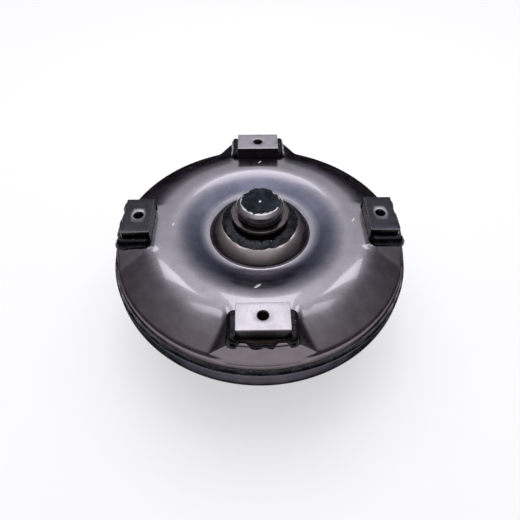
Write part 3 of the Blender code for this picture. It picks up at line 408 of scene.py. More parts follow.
# Weld metal: molten smooth under a black glassy scale, with fine specks of spatter; the grain is drawn
# coarser than real scale so that it shows. The attribute thin says where steel shows through.
def weldMetal(name, colour, light, grainMm, height, roughness):
    steel, spatter, patchMm, speckMm = "#857569", "#8a8890", 8.0, 1.3
    material, tree, shader, place = startMaterial(name, colour, roughness, 0.8)
    grain = addNode(tree, "TexNoise", spaced(place, grainMm, 2.0))
    patch = addNode(tree, "TexNoise", spaced(place, patchMm, 3.0))
    specks = addNode(tree, "TexNoise", spaced(place, speckMm, 1.0))
    specks = addNode(tree, "MapRange", [specks, 0.72, 0.76])
    surface = addNode(tree, "ValToRGB", [patch], stops=[(0.42, colour), (0.75, light)])
    thin = addNode(tree, "Attribute", output="Fac", attribute_name="thin")
    for amount, over in ((thin, steel), (specks, spatter)):
        surface = addNode(tree, "Mix", {0: amount, 6: surface, 7: linear(over)}, 2, data_type="RGBA")
    rough = addNode(tree, "MapRange", [patch, 0.35, 0.65, roughness, roughness + 0.2])
    bump = addNode(tree, "Bump", {"Height": grain, "Strength": 1.0, "Distance": height * mm})
    feed(tree, shader, {"Base Color": surface, "Roughness": rough, "Normal": bump})
    return material


# Plain metals of the inner pieces: a base colour, cloudiness and grain of their own.
def innerMetal(name, colour, dark, roughness, grainMm, strength):
    cloudMm = 22.0
    material, tree, shader, place = startMaterial(name, colour, roughness)
    grain = addNode(tree, "TexNoise", spaced(place, grainMm, 5.0, 0.65))
    cloud = addNode(tree, "TexNoise", spaced(place, cloudMm, 3.0))
    both = addNode(tree, "Math", [grain, cloud], operation="ADD")
    surface = addNode(tree, "ValToRGB", [both], stops=[(0.7, dark), (1.1, colour)])
    rough = addNode(tree, "MapRange", [cloud, 0.3, 0.7, roughness - 0.07, roughness + 0.1])
    bump = addNode(tree, "Bump", {"Height": grain, "Strength": strength, "Distance": 0.0004})
    feed(tree, shader, {"Base Color": surface, "Roughness": rough, "Normal": bump})
    return material


coverSteel = pressedSteel("oiledPressedSteel", coverLook, True)
shellSteel = pressedSteel("plainPressedSteel", shellLook, False)
pilotSteel = pilotFinish()
hubSteel = turnedSteel("turnedHubSteel", "#b6b2b4", "#85808a", 0.25)[0]
# Lit copy of the pad steel, with painted shade on its sides and thread and a painted highlight on its edge.
padSteel = milledSteel("milledPadSteel", "#b3aeb5", "#8d8892", "#3f3b40", "#aaa6ac", 0.34)
# The shaded copy of the pad steel: a painted shade for the pads to the left and right.
shadedPadSteel = milledSteel("shadedPadSteelCopy", "#3e3d44", "#26262b", "#2c2b30", "#9b98a0", 0.26)
padWeldMetal = weldMetal("blackenedWeld", "#131316", "#26262b", 3.5, 0.1, 0.12)
ringWeldMetal = weldMetal("scaledWeld", "#14151a", "#2f3039", 2.2, 0.2, 0.14)
sheetSteel = innerMetal("coldRolledSheet", "#b3aeaa", "#8d8884", 0.36, 3.0, 0.2)
bearingSteel = innerMetal("groundBearingSteel", "#c4c4c6", "#a5a5a8", 0.2, 1.2, 0.08)
springSteel = innerMetal("temperedStrip", "#8b8b95", "#5f6070", 0.3, 2.0, 0.1)
castAluminium = innerMetal("sandCastAluminium", "#bdbdbb", "#8f908f", 0.5, 1.1, 0.5)
bronze = innerMetal("sinteredBronze", "#b98a52", "#8b6236", 0.36, 0.8, 0.25)
print("materials ready")

cover = {
    "hole": 26.3, "wall": 3.8, "domeTop": 3.8, "domeFlat": 37.5, "domeRadius": 52.6, "domeFoot": -8.6,
    "domeBend": (1.6, 1.2), "waveStart": 55.0, "crownRadius": 100.0, "shoulder": 150.7, "skirt": 155.2,
    "skirtTop": -24.0, "split": 99.0, "seatEnd": 149.0, "seatEdge": 3.0, "seatHalf": 30.5, "gentle": 5.0,
    "fillet": 2.0, "wallFoot": (152.05, -17.0), "cornerAngles": (11.5, 18.0),
    "slopes": [(48.0, 0.02), (54.0, 0.02), (57.5, 0.05), (61.0, 0.28), (66.0, 0.34), (72.0, 0.335),
               (80.0, 0.283), (88.0, 0.22), (96.0, 0.034), (101.0, 0.0), (106.0, -0.035),
               (112.0, -0.221), (120.0, -0.341), (130.0, -0.445), (140.0, -0.487), (151.0, -0.52),
               (160.0, -0.54)]}
# Heat tint: a field of half sizes round each pad and a ring on the dome; the low end of each seat gets the
# same tint as painted shade.
heatTintAndShadeField = {"middle": 129.0, "half": (14.0, 28.0), "reach": 8.0, "ring": 43.0, "ringReach": 3.0,
             "ringShare": 0.3, "lowRadii": (146.0, 154.0), "lowAngles": (12.0, 30.0), "seatWallShadeShare": 0.45}


def coverWave(radius, onSeat):
    # Height over the radius is the running sum of the slope, which goes straight from one listed radius
    # to the next and is rounded by a running mean; a seat has no slope beyond the crown.
    step, spread = 0.25, 8
    fine = np.arange(cover["slopes"][0][0], cover["slopes"][-1][0], step)
    slope = np.interp(fine, *np.array(cover["slopes"]).T)
    mean = np.full(2 * spread + 1, 1.0 / (2 * spread + 1))
    slope = np.convolve(np.pad(slope, spread, mode="edge"), mean, mode="valid")
    if onSeat:
        slope = np.where(fine > cover["crownRadius"], 0.0, slope)
    height = np.concatenate([[0.0], np.cumsum((slope[1:] + slope[:-1]) * (step / 2.0))])
    return np.interp(radius, fine, height - height.max())

def coverLines():
    # Outer section between the pads and on a pad, point for point at the same radii but for the bend at
    # the end: domed centre, sharp foot, the wave, then either the slope or the seat with its rounded edge
    # and steep wall, and last the bend into the skirt.
    out = np.sin(np.radians(np.linspace(0.0, 90.0, 22)))
    width = cover["domeRadius"] - cover["domeFlat"]
    tall = cover["domeTop"] - cover["domeFoot"]
    start = [[cover["hole"], cover["domeTop"]], [32.0, cover["domeTop"]]]
    drop = (1.0 - out ** cover["domeBend"][0]) ** (1.0 / cover["domeBend"][1])  # how high the dome still is
    arch = np.stack([cover["domeFlat"] + width * out, cover["domeFoot"] + tall * drop], axis=1)
    first = cover["waveStart"]
    level = float(coverWave(first, False))
    foot = roundedLine([(*arch[-1], 0.0), (cover["domeRadius"] + 0.15, level - 0.8, 0.3),
                        (cover["domeRadius"] + 0.7, level - 0.3, 0.3),
                        (cover["domeRadius"] + 1.3, level + 0.12, 0.6),
                        (first, level, 0.0)])[1:-1]
    inner = np.linspace(first, cover["split"], 44)
    shared = np.vstack([start, arch, foot, np.stack([inner, coverWave(inner, False)], axis=1)])
    # The seat.
    flatEnd = cover["seatEnd"] - cover["seatEdge"]
    radius = np.linspace(cover["split"], flatEnd, 40)[1:]
    flat = np.stack([radius, coverWave(radius, True)], axis=1)
    edge = np.radians(np.linspace(90.0, 14.0, 9))[1:]
    fillet = np.stack([flatEnd + cover["seatEdge"] * np.cos(edge),
                       cover["seatEdge"] * (np.sin(edge) - 1.0)], axis=1)
    low = np.array(cover["wallFoot"])
    wall = fillet[-1] + (low - fillet[-1]) * np.linspace(0.0, 1.0, 15)[1:, None]
    seat = np.vstack([flat, fillet, wall])
    # The slope at the same radii, and both bends.
    skirtStart = (cover["skirt"], cover["skirtTop"])
    radius = np.linspace(cover["split"], cover["shoulder"], 160)
    fall = np.stack([radius, coverWave(radius, False)], axis=1)
    corner = (cover["skirt"], fall[-1][1] - 0.52 * (cover["skirt"] - cover["shoulder"]))
    ends = np.array([fall[-1], corner, skirtStart])
    share = np.linspace(0.0, 1.0, 80)
    turn = bentLine(ends, share)
    whole = np.vstack([fall, turn[1:]])
    slope = np.stack([seat[:, 0], np.interp(seat[:, 0], whole[:, 0], whole[:, 1])], axis=1)
    begun = np.interp(low[0], turn[:, 0], share)
    bend = np.linspace(0.0, 1.0, 10)[1:]
    slopeBend = bentLine(ends, begun + (1.0 - begun) * bend)
    seatBend = bentLine(np.array([low, (cover["skirt"] - 1.6, cover["skirtTop"] + 2.5), skirtStart]), bend)
    skirt = np.stack([np.full(12, cover["skirt"]),
                      np.linspace(cover["skirtTop"], skirtFoot - crown, 13)[1:]], axis=1)
    same = len(shared) + len(slope)
    return np.vstack([shared, slope, slopeBend, skirt]), np.vstack([shared, seat, seatBend, skirt]), same


def insideLine(line, wall, kept):
    # The section's inner side: the kept points, moved square to the line by the wall.
    sparse = line[kept]
    along = np.gradient(sparse, axis=0)
    along /= np.linalg.norm(along, axis=1)[:, None]
    inner = sparse + wall * np.stack([along[:, 1], -along[:, 0]], axis=1)
    inner[0, 0] = line[0, 0]
    inner[-1] = (line[-1, 0] - wall, line[-1, 1])
    return inner[::-1]


def offCentre(around):
    # Degrees from the centre line of the nearest pad.
    return np.abs((np.degrees(around) + 45.0) % 90.0 - 45.0)


def coverAngles():
    # A column every degree, and four times as close where a seat ends.
    half = np.concatenate([np.arange(0.0, 10.0), np.arange(10.0, 19.9, 0.25), np.arange(20.0, 45.0)])
    quarter = np.concatenate([-half[:0:-1], half, [45.0]])
    return np.radians((quarter + 90.0 * np.arange(4)[:, None]).ravel())


def coverSkin():
    # The height is the larger of the slope's and the smaller of the seat's and a plane that falls at 45
    # degrees beside the seat. Larger and smaller are rounded: half of sum plus or minus root of squared
    # difference plus squared fillet, and the fillet shrinks where seat and slope come together.
    slope, seat, same = coverLines()
    around = coverAngles()
    step = seat[:, 1] - slope[:, 1]
    fillet = np.minimum(cover["fillet"], 0.5 * np.maximum.accumulate(step))[None, :] * (step > 0.01)
    plane = cover["seatHalf"] - slope[None, :, 0] * np.sin(np.radians(offCentre(around)))[:, None]
    # Low steps have a soft side.
    plane = plane * np.clip(np.maximum.accumulate(step) / cover["gentle"], 0.02, 1.0)
    height = (seat[:, 1] + plane - np.sqrt((seat[:, 1] - plane) ** 2 + fillet ** 2)) / 2.0
    height = (slope[:, 1] + height + np.sqrt((slope[:, 1] - height) ** 2 + fillet ** 2)) / 2.0
    share = np.where(step > 0.01, (height - slope[:, 1]) / np.maximum(step, 0.01), 0.0)
    low = 1.0 - softStep(offCentre(around), cover["cornerAngles"][0], cover["cornerAngles"][1])
    share[:, same:] = low[:, None]
    kept = np.unique(np.r_[np.arange(0, len(slope), 4), len(slope) - 1])
    share = np.concatenate([share, np.clip(share[:, kept[::-1]], 0.0, 1.0)], axis=1)
    slope = np.vstack([slope, insideLine(slope, cover["wall"], kept)])
    seat = np.vstack([seat, insideLine(seat, cover["wall"], kept)])
    section = slope[None] + share[..., None] * (seat - slope)[None]
    grid = inRound(section[..., 0], crown + section[..., 1], around[:, None])
    # Heat tint from welding: 1 beside each pad's weld, falling off within 20 mm, and weaker on the dome; low
    # on each seat the same values are painted shade.
    x, y = grid[..., 0], grid[..., 1]
    heat = np.zeros(x.shape)
    for quarter in range(4):
        along, across = quarterTurned(x, y, -quarter)
        away = np.hypot(np.maximum(np.abs(along - heatTintAndShadeField["middle"]) - heatTintAndShadeField["half"][0], 0.0),
                        np.maximum(np.abs(across) - heatTintAndShadeField["half"][1], 0.0))
        heat = np.maximum(heat, np.exp(-away / heatTintAndShadeField["reach"]))
    radius = np.hypot(x, y)
    ring = np.exp(-np.abs(radius - heatTintAndShadeField["ring"]) / heatTintAndShadeField["ringReach"])
    # Painted shade on the wall below each seat, in the heat tint's colours.
    seatWallShade = 1.0 - softStep(offCentre(np.arctan2(y, x)), *heatTintAndShadeField["lowAngles"])
    seatWallShade = softStep(radius, *heatTintAndShadeField["lowRadii"]) * seatWallShade
    heat = np.maximum(heat, heatTintAndShadeField["ringShare"] * ring)
    heat = np.maximum(heat, heatTintAndShadeField["seatWallShadeShare"] * seatWallShade)
    makePiece("coverSkin", "housing", ["front_cover"], coverSteel, 40.0,
              [(grid, True, True)], {"heat": heat})


coverSkin()

pilot = {"radius": 23.9, "chamfer": 3.0, "undercut": 22.4, "foot": 19.6, "collar": 30.4, "collarTop": 17.0,
         "collarFoot": 9.3, "neck": 27.4, "spigot": 25.7, "bore": 12.0, "boreTop": 8.0, "steps": 224}


def pilotPiece():
    # The stepped section with its edges rounded, turned round Z, a centre mark sunk in its end.
    high = pilotEnd - crown
    floor = pilotFloor - crown
    radius, chamfer, undercut, foot, collar, collarTop, collarFoot, neck, spigot, bore, boreTop = (
        pilot[key] for key in ("radius", "chamfer", "undercut", "foot", "collar", "collarTop",
                               "collarFoot", "neck", "spigot", "bore", "boreTop"))
    corners = [(0.0, high - 2.0, 0), (1.9, high - 0.15, 0.15), (4.5, high, 0),
               (radius - 1.2 * chamfer, high, 0.5), (radius, high - chamfer, 0.5), (radius, foot, 0.3),
               (undercut, foot - 0.7, 0.3), (undercut, collarTop + 0.3, 0.3),
               (collar - 1.0, collarTop, 0.3), (collar, collarTop - 1.0, 0.4),
               (collar, collarFoot + 1.0, 0.4), (collar - 1.0, collarFoot, 0.3), (neck, collarFoot, 0.3),
               (neck, 4.1, 0), (spigot, 4.1, 0), (spigot, floor, 0), (bore, floor, 0),
               (bore, boreTop - 3.0, 0), (0.0, boreTop, 0)]
    line = finerLine(roundedLine(corners, 4), 3.0) + [0.0, crown]
    makePiece("pilotHub", "housing", ["pilot_hub"], pilotSteel, 28.0,
              [(turned(line, pilot["steps"]), True, False)], merge=True)


pilotPiece()

pad = {"circle": 126.5, "width": 48.4, "depth": 28.6, "height": 14.2, "edge": 0.5, "corner": 1.1, "hole": 4.4,
       "inward": 0.7, "sink": 0.8, "pitch": 1.5, "thread": 0.42, "steps": 256}


def padPiece(index):
    # Ring by ring from the hole's wall to the block's side: each ring runs from a circle to a rounded
    # rectangle; in the hole the radius follows the thread's helix, a triangle wave of height and angle.
    around = circle(pad["steps"])
    floor = padTop - pad["height"]
    halfX, halfY = pad["depth"] / 2.0, pad["width"] / 2.0

    def outline(inset):
        # Rounded rectangle met by a ray from the hole: the box's edge, with its corners drawn in.
        x, y = halfX - inset, halfY - inset
        ray = np.stack([np.cos(around), np.sin(around)], axis=1)
        start = np.array([-pad["inward"], 0.0])
        reachX = np.abs(np.where(ray[:, 0] > 0, x, -x) - start[0]) / np.maximum(np.abs(ray[:, 0]), 1e-9)
        reachY = y / np.maximum(np.abs(ray[:, 1]), 1e-9)
        point = start + ray * np.minimum(reachX, reachY)[:, None]
        r = max(pad["corner"] - inset * 0.5, 0.4)
        over = np.stack([np.abs(point[:, 0]) - (x - r), np.abs(point[:, 1]) - (y - r)], axis=1)
        corner = (over > 0.0).all(axis=1)
        length = np.where(corner, np.hypot(over[:, 0], over[:, 1]), 1.0)
        scale = np.where(corner, r / length, 1.0)
        drawn = np.stack([x - r + over[:, 0] * scale, y - r + over[:, 1] * scale], axis=1) * np.sign(point)
        return np.where(corner[:, None], drawn, point)

    rings = []
    for height in np.arange(floor, padTop - pad["sink"], pad["pitch"] / 4.0):
        phase = (height / pad["pitch"] - around / (2.0 * np.pi)) % 1.0
        radius = pad["hole"] + pad["thread"] * (np.abs(2.0 * phase - 1.0) - 0.35)
        rings.append((radius, height))
    rings += [(pad["hole"] + 0.1, padTop - pad["sink"]), (pad["hole"] + pad["sink"] + 0.1, padTop - 0.12),
              (pad["hole"] + pad["sink"] + 0.4, padTop)]
    grid = [inRound(radius, height, around) - [pad["inward"], 0.0, 0.0] for radius, height in rings]
    inner = grid[-1][:, :2]
    for share in (0.3, 0.65):
        spread = inner + share * (outline(pad["edge"]) - inner)
        grid.append(np.column_stack([spread, np.full_like(around, padTop)]))
    for turn in np.radians(np.linspace(90.0, 0.0, 6)):
        edge = outline(pad["edge"] * (1.0 - math.cos(turn)))
        height = padTop - pad["edge"] * (1.0 - math.sin(turn))
        grid.append(np.column_stack([edge, np.full_like(around, height)]))
    for height, inset in ((padTop - 4.0, 0.0), (padTop - 9.0, 0.0), (floor + 0.8, 0.0), (floor, 0.8)):
        grid.append(np.column_stack([outline(inset), np.full_like(around, height)]))
    grid = np.array(grid)
    x, y = quarterTurned(grid[..., 0] + pad["circle"], grid[..., 1], index)
    grid = np.stack([x, y, grid[..., 2]], axis=-1)
    # 1 in the thread, 0 on the milled face, a quarter on its edge and a half on the sides.
    shade = [1.0] * (len(rings) - 1) + [0.2, 0.0, 0.0, 0.0, 0.1, 0.2, 0.25, 0.25, 0.3] + [0.5] * 4
    # The pads to the left and right take the shaded copy, a painted shade; the front and back pads the lit
    # one.
    makePiece(f"drivePad{index + 1}", "housing", [f"mounting_pad_{index + 1}"],
              padSteel if index % 2 else shadedPadSteel, 30.0, [(grid, True, True)],
              {"shade": np.repeat(shade, pad["steps"])})


for index in range(4):
    padPiece(index)

padWeld = {"end": 8.5, "endHeight": 7.0, "side": 3.0, "sideHeight": 1.9, "run": 5.2, "runHalf": 9.0,
           "runEdge": 7.0, "runPlaces": (2.0, -3.0, 4.0, -1.0), "along": 340, "columns": 28}


def seatDrop(radius):
    # How far the seat's rounded outer edge lies below the seat.
    over = np.clip((radius - cover["seatEnd"] + cover["seatEdge"]) / cover["seatEdge"], 0.0, 1.0)
    return cover["seatEdge"] * (1.0 - np.sqrt(1.0 - over ** 2))


def padWeldPiece(index):
    # A bead round three sides of the pad. On both ends its section is a squashed quarter circle, thick
    # and smooth; along the outer side it is thin with a raised lip at its toe, which hangs down in one run
    # over the seat's rounded edge.
    floor = crown + 0.3
    inner = pad["circle"] - pad["depth"] / 2.0 - 1.0
    outer = pad["circle"] + pad["depth"] / 2.0
    half = pad["width"] / 2.0
    ends = np.cumsum([0.0, outer - inner, math.pi, 2 * half, math.pi, outer - inner])
    along = np.linspace(0.0, ends[-1], padWeld["along"])
    x = np.interp(along, ends, [inner, outer, outer, outer, outer, inner])
    y = np.interp(along, ends, [-half, -half, -half, half, half, half])
    heading = np.radians(np.interp(along, ends, [-90, -90, 0, 0, 90, 90]))
    turns = along / ends[-1] * 2.0 * np.pi
    onSide = softStep(along, ends[1] + 1.0, ends[2] + 6.0)
    onSide = onSide * (1.0 - softStep(along, ends[3] - 6.0, ends[4] - 1.0))
    place = along - (ends[2] + ends[3]) / 2.0 - padWeld["runPlaces"][index]
    run = 1.0 - softStep(np.abs(place), padWeld["runHalf"], padWeld["runHalf"] + padWeld["runEdge"])
    width = padWeld["end"] * (0.97 + 0.03 * waves(turns, 10 + index, 5, 1, 5)) * (1.0 - onSide)
    side = padWeld["side"] * (1.0 + 0.1 * waves(turns, 50 + index, 5, 5, 13))
    width += onSide * (side + padWeld["run"] * run)
    height = padWeld["endHeight"] * (0.97 + 0.03 * waves(turns, 20 + index, 5, 1, 6)) * (1.0 - onSide)
    height += onSide * padWeld["sideHeight"] * (1.0 + 0.15 * waves(turns, 60 + index, 5, 5, 16))
    fade = np.sqrt(np.clip(np.minimum(along, ends[-1] - along) / 5.0, 0.0, 1.0))
    angle = np.linspace(0.0, np.pi / 2, padWeld["columns"] - 1)
    out = np.concatenate([np.sin(angle) ** 0.85, [0.0]])[None, :]
    heap = np.concatenate([np.cos(angle) ** 0.75, [0.0]])[None, :]
    limit = np.sqrt(np.clip(1.0 - out ** 6, 0.0, 1.0))
    lip = np.clip(0.35 + 0.65 * np.exp(-((out - 0.8) / 0.16) ** 2), 0.0, limit)
    lip[0, -1] = 0.0
    up = heap + onSide[:, None] * (lip - heap)
    swell = 1.0 + 0.02 * waves(turns[:, None], 30 + index, 7, 3, 14, angle[None, :], 1.5)
    swell = np.concatenate([swell, np.ones((len(turns), 1))], axis=1)
    across = 0.3 + (width * fade)[:, None] * out * np.minimum(swell, 1.08)
    px = x[:, None] + np.cos(heading)[:, None] * across
    py = y[:, None] + np.sin(heading)[:, None] * across
    tall = (floor - seatDrop(np.hypot(px, py)) - np.clip(np.abs(py) - cover["seatHalf"] + 0.8, 0.0, None)
            + (height * fade)[:, None] * up * np.minimum(swell, 1.08))
    grid = np.stack([*quarterTurned(px, py, index), tall], axis=-1)
    thin = 0.8 * onSide[:, None] * np.exp(-((out - 0.42) / 0.22) ** 2)
    makePiece(f"padWeld{index + 1}", "housing", [f"pad_weld_{index + 1}"], padWeldMetal,
              60.0, [(grid, False, True)], {"thin": thin})


for index in range(4):
    padWeldPiece(index)

closure = {"bore": 155.5, "toe": 158.2, "steps": 720, "sides": 12}


def closureWeldPiece():
    # Hollow fillet between skirt and rim: the section is a quarter curve, its surface heaped up by
    # close ripples along the seam and by slower waves.
    floor = rimTop + 0.3
    angle = np.linspace(0.0, np.pi / 2, closure["sides"])
    reach = closure["toe"] - closure["bore"]
    out = np.concatenate([1.0 - np.cos(angle), [0.0]])
    up = np.concatenate([1.0 - np.sin(angle), [0.0]])
    around = circle(closure["steps"])[:, None]
    ripple = np.abs(np.sin(around * 120.0 + 2.0 * np.sin(out[None, :] * 2.0)))
    heap = 0.35 * ripple + 0.3 * waves(around, 5, 10, 3, 60, out[None, :], 3.0)
    middle = np.sin(np.pi * np.concatenate([np.linspace(0.0, 1.0, closure["sides"]), [0.0]]))
    relief = np.clip(heap, -0.3, 0.7) * middle * 0.9
    across = closure["bore"] + reach * out + relief
    tall = floor + (weldTop - floor) * up + relief
    makePiece("closureWeld", "housing", ["closure_weld"], ringWeldMetal, 60.0,
              [(inRound(across, tall, around), True, True)])


closureWeldPiece()


def pilotWeldPiece():
    # Broad ring round the pilot's neck: the section falls in a soft curve from neck to dome, with its
    # toe wandering in and out and a few raised runs.
    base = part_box("pilot_weld")
    floor, top = base[0][2] / mm, base[1][2] / mm
    bore, toe = 27.75, base[1][0] / mm
    share = np.linspace(0.0, 1.0, 20)
    out = np.concatenate([share, [0.0]])
    up = np.concatenate([1.0 - share ** 1.7, [0.0]])
    around = circle(360)[:, None]
    wander = 0.5 * waves(around, 71, 9, 2, 24) - 0.6
    lump = 0.14 * waves(around, 72, 12, 2, 18, out[None, :], 7.0) * np.sin(np.pi * out)
    across = bore + (toe - bore + wander) * out
    tall = floor + (top - floor) * np.clip(up * 0.95 + lump * 0.5, 0.0, 1.0)
    makePiece("pilotWeld", "housing", ["pilot_weld"], ringWeldMetal, 50.0,
              [(inRound(across, tall, around), True, True)])


pilotWeldPiece()

torus = {"outer": 152.5, "inner": 59.5, "depth": 37.5, "coreOuter": 135.5, "coreInner": 81.5,
         "coreDepth": 21.0, "gap": 0.6, "shellAngles": (1.5, 155.0),
         "coreAngles": (3.0, 148.0), "blade": 1.2, "root": 0.9}
shell = {"wall": 4.0, "rim": 158.5, "lip": 155.75, "seat": 7.0, "hole": 36.5, "steps": 300, "blades": 21,
         "sweep": math.radians(17.0)}
midplane = rimTop - 11.15
hubLength = midplane - 21.5


def ellipse(outer, inner, depth, angle, grow=0.0):
    # Half of the torus's section: radius = centre + half width cos a, height from midplane = -depth sin a.
    half = (outer - inner) / 2.0 + grow
    return (outer + inner) / 2.0 + half * np.cos(angle), -(depth + grow) * np.sin(angle)


def bladeGrid(index):
    # A ruled sheet from the core ring to the shell: angle round the torus one way, reach across the
    # passage the other, thickened square to the turning direction; the two faces make one closed tube,
    # shut at both ends by its middle line.
    share = np.linspace(0.0, 1.0, 20)[:, None]
    across = np.linspace(0.0, 1.0, 5)[None, :]
    coreAngle, shellAngle = (np.radians(first + share * (last - first))
                             for first, last in (torus["coreAngles"], torus["shellAngles"]))
    r0, z0 = ellipse(torus["coreOuter"], torus["coreInner"], torus["coreDepth"], coreAngle, torus["gap"])
    r1, z1 = ellipse(torus["outer"], torus["inner"], torus["depth"], shellAngle, torus["root"])
    radius = r0 + across * (r1 - r0)
    height = midplane + z0 + across * (z1 - z0)
    around = 2.0 * np.pi * index / shell["blades"] - shell["sweep"] * share ** 2
    faces = [inRound(radius, height, around + side * torus["blade"] / radius) for side in (-0.5, 0.5)]
    middle = (faces[0] + faces[1]) / 2.0
    faces = [np.concatenate([middle[:1], face, middle[-1:]]) for face in faces]
    return np.concatenate([faces[0], faces[1][:, ::-1]], axis=1)


def impellerShellPiece():
    # The bowl's section: rim step, outer ellipse, flat floor round the hub and the oil passage's
    # ellipse; its blades are ruled sheets that stand in the passage.
    radius, low = ellipse(shell["rim"], torus["inner"] - 1.25 * shell["wall"],
                          torus["depth"] + shell["wall"], np.radians(np.linspace(0.0, 150.0, 60)))
    bowl = np.stack([radius, midplane + low], axis=1)
    radius, low = ellipse(torus["outer"], torus["inner"], torus["depth"],
                          np.radians(np.linspace(*torus["shellAngles"][::-1], 40)))
    passage = np.stack([radius, midplane + low], axis=1)
    floorTop = hubLength + shell["wall"]
    floor = roundedLine([(*bowl[-2], 0), (*bowl[-1], 0.5), (bowl[-1][0] - shell["wall"], hubLength, 2.5),
                         (shell["hole"], hubLength, 0), (shell["hole"], floorTop, 0),
                         (torus["inner"], floorTop, 1.5), (*passage[0], 0)], 6)[1:-1]
    lip = roundedLine([(shell["lip"], midplane + 9.0, 0), (shell["lip"], rimTop, 0.4),
                       (shell["rim"], rimTop, 0.9), (shell["rim"], midplane + 3.0, 0)])
    seat = np.array([(torus["outer"], midplane + shell["seat"]), (shell["lip"], midplane + shell["seat"])])
    line = np.vstack([finerLine(lip, 2.5), bowl, floor, passage, seat])
    blades = [(bladeGrid(index), False, True) for index in range(shell["blades"])]
    makePiece("impellerShell", "housing", ["impeller_shell"], shellSteel, 34.0,
              [(turned(line, shell["steps"]), True, True)] + blades, merge=True)


impellerShellPiece()

hub = {"radius": 23.8, "bore": 20.2, "flange": 36.0, "weld": 5.0, "slot": 4.0, "slotDepth": 12.0}


def impellerHubPiece():
    # The hub's section turned round Z; between the slots' parallel walls its foot is lifted to the
    # slots' roofs. Columns on a wall keep y constant, so that the walls stay flat.
    top = hubLength + shell["wall"]
    flangeFoot = hubLength - hub["weld"]
    wallTop = hub["slotDepth"] + 0.6
    corners = [(hub["bore"], wallTop, 0), (hub["bore"], top, 0.4), (hub["flange"], top, 0.6),
               (hub["flange"], flangeFoot, 0.8), (hub["radius"] + 4.0, flangeFoot, 1.0),
               (hub["radius"], flangeFoot - 4.0, 3.0), (hub["radius"], wallTop, 0)]
    upper = finerLine(roundedLine(corners), 4.0)
    foot = roundedLine([(hub["radius"], hub["slotDepth"], 0), (hub["radius"], 1.2, 0.4),
                        (hub["radius"] - 1.2, 0.0, 0.4), (hub["bore"] + 0.5, 0.0, 0.3),
                        (hub["bore"], 0.5, 0.3), (hub["bore"], hub["slotDepth"], 0)], 4)
    foot = finerLine(foot, 4.0)
    wall = math.asin(hub["slot"] / hub["radius"])
    columns = []
    for start in (0.0, math.pi):
        inSlot = np.linspace(-wall, wall, 10)
        body = np.linspace(wall, math.pi - wall, 110)
        columns += [(start + a, True, abs(abs(a) - wall) < 1e-9) for a in inSlot]
        columns += [(start + a, False, k in (0, len(body) - 1)) for k, a in enumerate(body)]
    grid = []
    for angle, lifted, onWall in columns:
        low = foot.copy()
        if lifted:
            low[:, 1] = hub["slotDepth"]
        line = np.vstack([upper, low])
        around = np.full(len(line), angle)
        if onWall:
            base = round(angle / math.pi) * math.pi
            side = np.sign(math.sin(angle)) * np.sign(math.cos(base))
            parallel = base + side * np.arcsin(hub["slot"] / line[:, 0])
            around = np.where(line[:, 1] < wallTop - 0.1, parallel, around)
        grid.append(inRound(line[:, 0], line[:, 1], around))
    makePiece("impellerHub", "housing", ["impeller_hub"], hubSteel, 30.0,
              [(np.array(grid), True, True)])


impellerHubPiece()


def hubWeldPiece():
    # Bead in the corner under the shell's floor, a rippled quarter round.
    top = hubLength - 0.3
    angle = np.linspace(0.0, np.pi / 2, 12)
    out = np.concatenate([np.cos(angle), [0.0]])
    down = np.concatenate([np.sin(angle), [0.0]])
    around = circle(480)[:, None]
    swell = 0.9 + 0.05 * np.abs(np.sin(around * 45.0)) + 0.02 * waves(around, 8, 8, 2, 30)
    across = hub["flange"] + 0.45 + hub["weld"] * swell * out
    tall = top - hub["weld"] * 0.9 * swell * down
    makePiece("impellerHubWeld", "housing", ["impeller_hub_weld"], ringWeldMetal, 60.0,
              [(inRound(across, tall, around), True, True)])


hubWeldPiece()

# The inner pieces keep their CAD shapes and get a finish each.
finishes = {"sheet_steel": sheetSteel, "bearing_steel": bearingSteel, "spring_steel": springSteel,
            "cast_aluminium": castAluminium, "bronze": bronze, "turned_steel": hubSteel,
            "pressed_steel": shellSteel, "milled_steel": padSteel, "weld_metal": padWeldMetal}
slots = {row["node"]: row["material_slot"] for row in frame["record"]["subparts"]}
for name, node in frame["nodes"].items():
    for place in node.material_slots:
        place.material = finishes[slots[name]]
print("inner pieces finished")

studio = {"size": 3.0, "drop": 0.0004, "glow": 0.5, "paper": "#d9d9db"}


def stageFloor():
    half = studio["size"] / 2.0
    mesh = bpy.data.meshes.new("studioFloor")
    mesh.from_pydata([(-half, -half, 0), (half, -half, 0), (half, half, 0), (-half, half, 0)], [],
                     [(0, 1, 2, 3)])
    floor = bpy.data.objects.new("studioFloor", mesh)
    bpy.context.scene.collection.objects.link(floor)
    floor.location.z = -studio["drop"]
    # Matt paper that also glows, but only for rays that look at it.
    material = bpy.data.materials.new("palePaper")
    material.use_nodes = True
    tree = material.node_tree
    tree.nodes.clear()
    diffuse = addNode(tree, "BsdfDiffuse", {"Color": linear(studio["paper"])})
    glow = addNode(tree, "Emission", {"Color": (1, 1, 1, 1), "Strength": studio["glow"]})
    seen = addNode(tree, "LightPath").node.outputs
    rays = addNode(tree, "Math", [seen["Is Camera Ray"], seen["Is Glossy Ray"]], operation="ADD")
    rays = addNode(tree, "Math", [rays, seen["Is Transmission Ray"]], operation="ADD", use_clamp=True)
    both = addNode(tree, "AddShader", [diffuse, glow])
    mixed = addNode(tree, "MixShader", [rays, diffuse, both])
    addNode(tree, "OutputMaterial", {"Surface": mixed})
    mesh.materials.append(material)


stageFloor()

# Ceiling panels 1.2 m above the cover, in three rows, each from its plan: left, right, near and far edge.
panels = {"height": 1.35, "radiance": 2.15, "colour": "#fcfbff",
          "plans": [(-0.94, -0.38, 0.45, 0.82), (-0.13, 0.18, 0.47, 0.9), (0.42, 1.04, 0.42, 0.8),
                    (-0.68, -0.36, -0.13, 0.08), (0.47, 0.75, -0.14, 0.1), (-0.22, 0.24, 0.02, 0.36)]}


